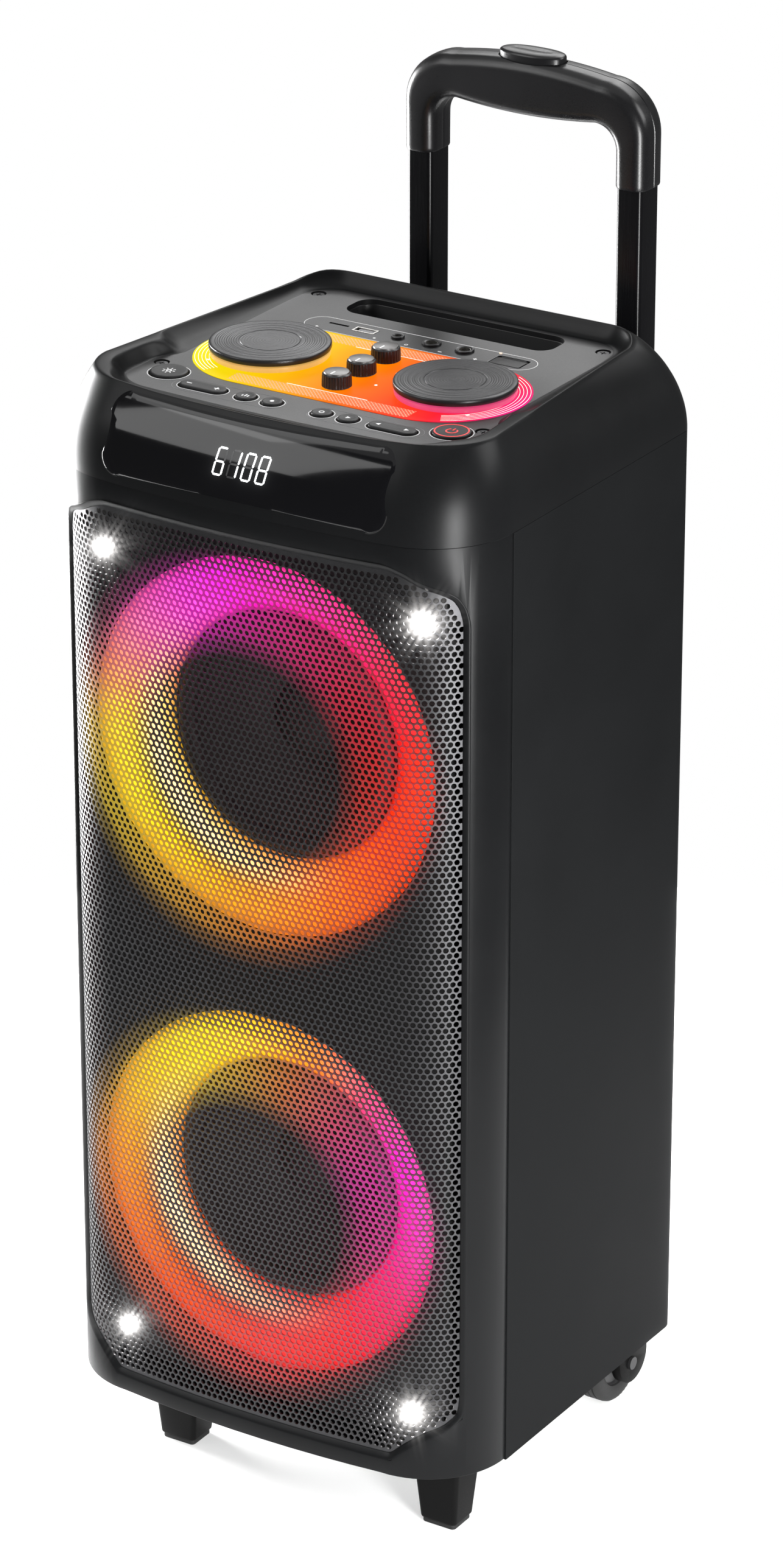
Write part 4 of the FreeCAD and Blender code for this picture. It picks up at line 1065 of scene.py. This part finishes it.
for sx, nm in ((-1, "left"), (1, "right")):
    x, y = sx * 61, -73
    rg = []
    for z, d in ((669.9, 0.5), (670.3, 0.35), (671.6, 0.35), (672.05, 0.55), (672.3, 1.0), (672.4, 1.6), (672.25, 3.2)):
        q = rr_pts(x - 15 + d, x + 15 - d, y - 5.5 + d, y + 5.5 - d, max(5.4 - d, .5), 10)
        rg.append(np.column_stack([q, np.full(len(q), z)]))
    V1, F1 = loft(rg)
    parts = [(V1, F1, 0)]
    for ic, dx in ((("minus", -9), ("plus", 9)) if sx < 0 else (("tril", -9), ("tri", 9))):
        for p in prints(icon(ic, x + dx, y, .8), 672.0, 672.38):
            parts.append((p[0], p[1], 1))
    V, F, K = join(parts)
    make("rocker_%s_key" % nm, V, F, [MAT["button_rubber"], PRINT_PAINTED_GLOW], "rocker_%s_body" % nm, ["rocker_" + nm], "button_rubber", sharp=32, fmat=K)

# ------------------------------------------------------------------ deck printing
ZP = 671.0
W, Dk = [], []


def pill(x0, x1, yc, h, w):
    w *= .55
    return [rr_pts(x0, x1, yc - h / 2, yc + h / 2, h / 2 - .01, 14), rr_pts(x0 + w, x1 - w, yc - h / 2 + w, yc + h / 2 - w, h / 2 - w - .01, 14)]


W.append(pill(-75, 75, 52.5, 21, .55))
for nm, x, y, r, ic in KEYS:
    W.append([ring_pts(x, y, r + 1.15, 64), ring_pts(x, y, r + .85, 64)])
for sx in (-1, 1):
    W.append(pill(sx * 61 - 16.2, sx * 61 + 16.2, -73, 13.4, .5))
    Dk.append(pill(min(sx * 8, sx * 80), max(sx * 8, sx * 80), -73, 18.2, .5))
for x, k in ((-64, "tri"), (-26, "dot"), (-5, "ring"), (17, "minus"), (40, "plus")):
    W += icon(k, x, 65.0 if False else 46.0, .55)
W += [[bar(-60 + i * 3, 34.5, -60 + i * 3, 36.2, .4)] for i in range(5)]
DC = [rr_pts(47.6, 69.4, 44.6, 59.4, 2.2, 6), rr_pts(48.0, 69.0, 45.0, 59.0, 1.9, 6)]
Dk.append(DC)
V, F, _ = join(prints(W, ZP - .15, ZP + .09))
make("deck_marks", V, F, PRINT_PAINTED_GLOW, "cabinet", slot="panel_plastic", sharp=30)
V, F, _ = join(prints(Dk, ZP - .15, ZP + .07))
make("deck_outlines", V, F, PRINT_DIM, "cabinet", slot="panel_plastic", sharp=30)

# lit lines on the glow plate
G = []
for sx in (-1, 1):
    for i in range(5):
        r = 38.4 + i * 2.0
        a0, a1 = (-62, 62) if sx > 0 else (118, 242)
        G.append([arc_strip(sx * 54.5, -8, r, .26, a0, a1, 60)])
    for k, yy in (("tri", 34.0), ("tril", -49.5)):
        G += icon(k, sx * 84, yy if False else (-8 + (26 if yy > 0 else -26)), .7)
for yy in (-43.0, 27.0):
    G.append([bar(-26, yy, 26, yy, .34)])
G += icon("tri", 17, 3, .7) + icon("tril", -17, -19, .7) + icon("dot", 17, -20, .6) + icon("dot", -17, 5, .6)
V, F, _ = join(prints(G, 671.3, 671.5))
make("glow_lines", V, F, LINE, "cabinet", slot="glow_plate", sharp=30)
V, F = lathe([(0, 670.9), (.8, 670.9), (.8, 671.15), (.5, 671.35), (0, 671.4)], (47.0, 62.0, 0), segs=20)
make("charge_light", V, F, CHARGE, "cabinet", slot="panel_plastic", sharp=40)
# usb tongue and jack bezels
rg = []
for y_, d in ((0, 0),):
    for z, dd in ((664.5, 0.0), (670.0, 0.0), (670.35, 0.25)):
        q = rr_pts(-37 - 5.2 + dd, -37 + 5.2 - dd, 55.0 + dd, 56.6 - dd, .25, 3)
        rg.append(np.column_stack([q, np.full(len(q), z)]))
V, F = loft(rg)
make("usb_tongue", V, F, TONGUE, "cabinet", slot="socket_metal", sharp=35)
jb = []
for x, y, ri in ((-15.5, 54, 1.95), (6.5, 54.5, 3.45), (28, 54.5, 3.45)):
    prof = [(ri, 670.4), (ri + 2.0, 670.4), (ri + 2.0, 672.0), (ri + 1.7, 672.35), (ri + .5, 672.4), (ri, 672.1)]
    segs = 48
    t = 2 * np.pi * np.arange(segs) / segs
    rgz = [np.column_stack([x + r * np.cos(t), y + r * np.sin(t), np.full(segs, z)]) for r, z in prof]
    jb.append(loft(rgz, close=True))
V, F, _ = join(jb)
make("jack_bezels", V, F, MAT["knob_metal"], "cabinet", slot="knob_metal", sharp=35, recalc=True)

# ------------------------------------------------------------------ handle grip and release button
def rr_section(h, b, r, m=7, groove=0.35):
    """Rounded rectangle in (a, b) with a fine parting groove at b=0 on both faces."""
    P = []
    for ca, cb, a0 in ((h - r, -(b - r), -90), (h - r, b - r, 0), (-(h - r), b - r, 90), (-(h - r), -(b - r), 180)):
        for i in range(m + 1):
            t = RAD(a0 + 90 * i / m)
            P.append((ca + r * math.cos(t), cb + r * math.sin(t)))
        if a0 == -90:
            P += [(h + .25, -2.0), (h + .28, -.45), (h - groove, 0.0), (h + .28, .45), (h + .25, 2.0)]
        if a0 == 90:
            P += [(-h, 2.0), (-h, .45), (-h + groove, 0.0), (-h, -.45), (-h, -2.0)]
    return P


def grip_path():
    O, I = [], []
    for t in np.linspace(0, 1, 9)[:-1]:
        O.append((79.6, 742 + 30 * t))
        I.append((59.4, 742 + 21.6 * t))
    for t in np.linspace(0, 90, 17)[:-1]:
        c, s = math.cos(RAD(t)), math.sin(RAD(t))
        O.append((49.6 + 30 * c, 772 + 30 * s))
        I.append((45.4 + 14 * c, 762.9 + 13.7 * s))
    for t in np.linspace(0, 1, 15)[:-1]:
        xo = 49.6 * (1 - t)
        xi = 45.4 * (1 - t)
        O.append((xo, 806 - 4.0 * (xo / 49.6) ** 2))
        I.append((xi, 773.6 + 3.0 * (xi / 45.4) ** 2))
    O.append((0, 806.0))
    I.append((0, 773.6))
    O, I = np.array(O), np.array(I)
    O = np.vstack([O, O[::-1][1:] * (-1, 1)])
    I = np.vstack([I, I[::-1][1:] * (-1, 1)])
    return O, I


O_, I_ = grip_path()
rg = []
nP = len(O_)
for i in range(nP):
    c = (O_[i] + I_[i]) / 2
    e = O_[i] - I_[i]
    h = np.linalg.norm(e) / 2
    e /= 2 * h
    rg.append([(c[0] + e[0] * a, 172.5 + b, c[1] + e[1] * a) for a, b in rr_section(h, 13.0, 7.5)])


def shrunk(r, d, dz):
    r = np.array(r)
    c = r.mean(0)
    q = r - c
    L = np.linalg.norm(q[:, :2], axis=1)[:, None]
    q[:, :2] *= 1 - d / L
    q = q + c
    q[:, 2] += dz
    return q


end = [shrunk(rg[0], 1.2, 0.0), shrunk(rg[0], .35, .35), shrunk(rg[0], 0, 1.2)]
rg = [end[0], end[1], end[2]] + rg[1:-1] + [shrunk(rg[-1], 0, 1.2), shrunk(rg[-1], .35, .35), shrunk(rg[-1], 1.2, 0.0)]
V, F = loft(rg)
grip = make("handle_grip_skin", V, F, MAT["grip_plastic"], "handle", ["handle_grip"], "grip_plastic", sharp=0, recalc=True)


def ellipse_ring(a, b, z, n=72):
    t = 2 * np.pi * np.arange(n) / n
    return np.column_stack([a * np.sign(np.cos(t)) * np.abs(np.cos(t)) ** .86, 172.5 + b * np.sign(np.sin(t)) * np.abs(np.sin(t)) ** .86, np.full(n, z)])


def cut(o, V, F):
    me = bpy.data.meshes.new("cutter")
    me.from_pydata([tuple(p) for p in M(V)], [], [tuple(int(i) for i in f) for f in F])
    bm = bmesh.new()
    bm.from_mesh(me)
    bmesh.ops.recalc_face_normals(bm, faces=bm.faces)
    bm.to_mesh(me)
    bm.free()
    c = bpy.data.objects.new("cutter", me)
    bpy.context.scene.collection.objects.link(c)
    md = o.modifiers.new("cut", "BOOLEAN")
    md.operation = "DIFFERENCE"
    md.solver = "EXACT"
    md.object = c
    bpy.context.view_layer.update()
    dg = bpy.context.evaluated_depsgraph_get()
    me2 = bpy.data.meshes.new_from_object(o.evaluated_get(dg))
    o.modifiers.clear()
    o.data = me2
    bpy.data.objects.remove(c)
    me2.shade_smooth()
    me2.set_sharp_from_angle(angle=RAD(38))


cv, cf = loft([ellipse_ring(21.3, 10.3, 797.0), ellipse_ring(21.3, 10.3, 805.0), ellipse_ring(22.0, 11.0, 806.6), ellipse_ring(22.0, 11.0, 812)])
cut(grip, cv, cf)
br = [ellipse_ring(20.8, 9.8, z) for z in (802.2, 808.2)] + [ellipse_ring(20.8 - d, 9.8 - d * .8, z) for d, z in ((.25, 808.9), (.8, 809.4), (2.0, 809.75), (4.5, 810.1), (8.5, 810.4), (9.6, 810.2), (12.5, 810.05))]
V, F = loft(br)
make("release_button_cap", V, F, MAT["grip_plastic"], "release", ["release_button"], "grip_plastic", sharp=35, recalc=True)

# ------------------------------------------------------------------ wheels
for sx, nm in ((-1, "left"), (1, "right")):
    hw = 9.0
    prof = [(0, -6.2), (4.2, -6.2), (4.6, -6.8), (8.5, -6.8), (9.0, -6.2), (9.6, -4.6), (15.6, -4.6), (16.4, -6.6), (17.0, -7.6), (19.0, -8.4), (22.5, -9.0), (25.0, -8.3), (26.6, -6.6),
            (27.0, -4.9), (27.0, -4.2), (26.3, -4.0), (26.3, -3.3), (27.0, -3.1), (27.0, -.4), (26.3, -.2), (26.3, .2)]
    prof = prof + [(r, -h) for r, h in prof[::-1]][1:]

    def tread(th, r, h):
        if 21.5 < r < 26.0 and abs(h) > 8.0:
            return r + 0.25 * math.cos(48 * th)
        if 9.3 < r < 16.0:
            return r
        return r
    V, F = lathe(prof, (sx * 97, 113, 27), axis="x", segs=96, mod=tread)
    c = np.array([sx * 97, 113, 27.0])
    K = []
    for f in F:
        p = V[list(f)].mean(0) - c
        K.append(1 if math.hypot(p[1], p[2]) < 16.2 else 0)
    make("wheel_%s_tyre" % nm, V, F, [MAT["wheel_rubber"], HUB], nm + "_wheel", ["wheel_" + nm], "wheel_rubber", sharp=35, fmat=K, recalc=True)

# ------------------------------------------------------------------ stage, light, camera
me = bpy.data.meshes.new("floor")
me.from_pydata([(.78 * math.cos(math.pi * i / 48), .78 * math.sin(math.pi * i / 48), -.0002) for i in range(96)], [], [list(range(96))])
fm = surf("floor_pale", (.55, .55, .55), .85, spec=.2, grain=60, bump=0, var=.01, emis=(1, 1, 1), emis_k=.50)
me.materials.append(fm)
fl_o = bpy.data.objects.new("floor", me)
bpy.context.scene.collection.objects.link(fl_o)

w = bpy.data.worlds.new("studio")
bpy.context.scene.world = w
w.use_nodes = True
wt = w.node_tree
bg = wt.nodes["Background"]
lp = wt.nodes.new("ShaderNodeLightPath")
wm = wt.nodes.new("ShaderNodeMapRange")
wm.inputs[3].default_value, wm.inputs[4].default_value = 0.20, 1.0
wt.links.new(lp.outputs["Is Camera Ray"], wm.inputs[0])
wt.links.new(wm.outputs[0], bg.inputs[1])
bg.inputs[0].default_value = (1, 1, 1, 1)


def area(name, loc, target, size, power, size_y=None, col=(1, 1, 1)):
    l = bpy.data.lights.new(name, "AREA")
    l.shape = "RECTANGLE"
    l.size = size
    l.size_y = size_y or size
    l.energy = power
    l.color = col
    o = bpy.data.objects.new(name, l)
    o.location = loc
    o.rotation_euler = (Vector(target) - Vector(loc)).to_track_quat("-Z", "Y").to_euler()
    bpy.context.scene.collection.objects.link(o)
    return o


def at(az, el, r, z=.4):
    return (r * math.sin(RAD(az)) * math.cos(RAD(el)), -r * math.cos(RAD(az)) * math.cos(RAD(el)), z + r * math.sin(RAD(el)))


area("key", at(-38, 34, 3.0), (0, 0, .45), 1.2, 26)
area("strip_right", (1.02, -.66, .42), (0, 0, .34), .30, 38, .84)
area("strip_left", (-1.05, .10, .42), (0, 0, .34), .50, 66, .84)
area("side", at(118, 34, 2.6), (0, 0, .5), 1.2, 38, 1.2)
area("top", at(176, 46, 2.5, .66), (0, 0, .67), 1.5, 26, .8)
area("roll_soft", at(-50, 50, 2.6, .6), (0, 0, .62), 1.0, 12, 1.0)
area("back_soft", at(206, 30, 3.0, .66), (0, 0, .67), 1.5, 19, .9)
sl = bpy.data.lights.new("overhead", "SUN")
sl.energy = 0.9
sl.angle = RAD(70)
so = bpy.data.objects.new("overhead", sl)
so.rotation_euler = (RAD(6), RAD(-8), 0)
bpy.context.scene.collection.objects.link(so)

cd = bpy.data.cameras.new("cam")
cd.lens = 132.13
cd.sensor_width = 36.0
cd.sensor_fit = "AUTO"
cd.clip_end = 50
cam = bpy.data.objects.new("cam", cd)
a_, e_ = RAD(32.265), RAD(23.717)
rt = Vector((math.cos(a_), math.sin(a_), 0))
dd = Vector((-math.sin(a_) * math.cos(e_), math.cos(a_) * math.cos(e_), -math.sin(e_)))
upv = rt.cross(dd)
cam.matrix_world = Matrix.Translation((1.6070, -2.5506, 1.7361)) @ Matrix((rt, upv, -dd)).transposed().to_4x4()
bpy.context.scene.collection.objects.link(cam)
bpy.context.scene.camera = cam
bpy.context.scene.view_settings.view_transform = "Standard"
bpy.context.scene.view_settings.look = "None"

sc = bpy.context.scene
sc.use_nodes = True
ct = sc.node_tree
ct.nodes.clear()
rl = ct.nodes.new("CompositorNodeRLayers")
g1 = ct.nodes.new("CompositorNodeGlare")
g1.glare_type = "BLOOM"
g2 = ct.nodes.new("CompositorNodeGlare")
g2.glare_type = "STREAKS"
for g, kv in ((g1, {"Threshold": 1.2, "Smoothness": .1, "Clamp": True, "Maximum": 4.0, "Strength": .10, "Size": .03, "Saturation": 1.0}),
              (g2, {"Threshold": 22.0, "Smoothness": .1, "Strength": .40, "Streaks": 8, "Iterations": 3, "Fade": .84, "Color Modulation": .0, "Streaks Angle": RAD(11)})):
    for k, v in kv.items():
        for i in g.inputs:
            if i.name == k or i.name == "Highlights " + k:
                i.default_value = v
co = ct.nodes.new("CompositorNodeComposite")
ct.links.new(rl.outputs[0], g1.inputs[0])
ct.links.new(g1.outputs[0], g2.inputs[0])
ct.links.new(g2.outputs[0], co.inputs[0])
print("glare inputs", [(i.name, i.type) for i in g1.inputs], [(i.name, i.type) for i in g2.inputs])
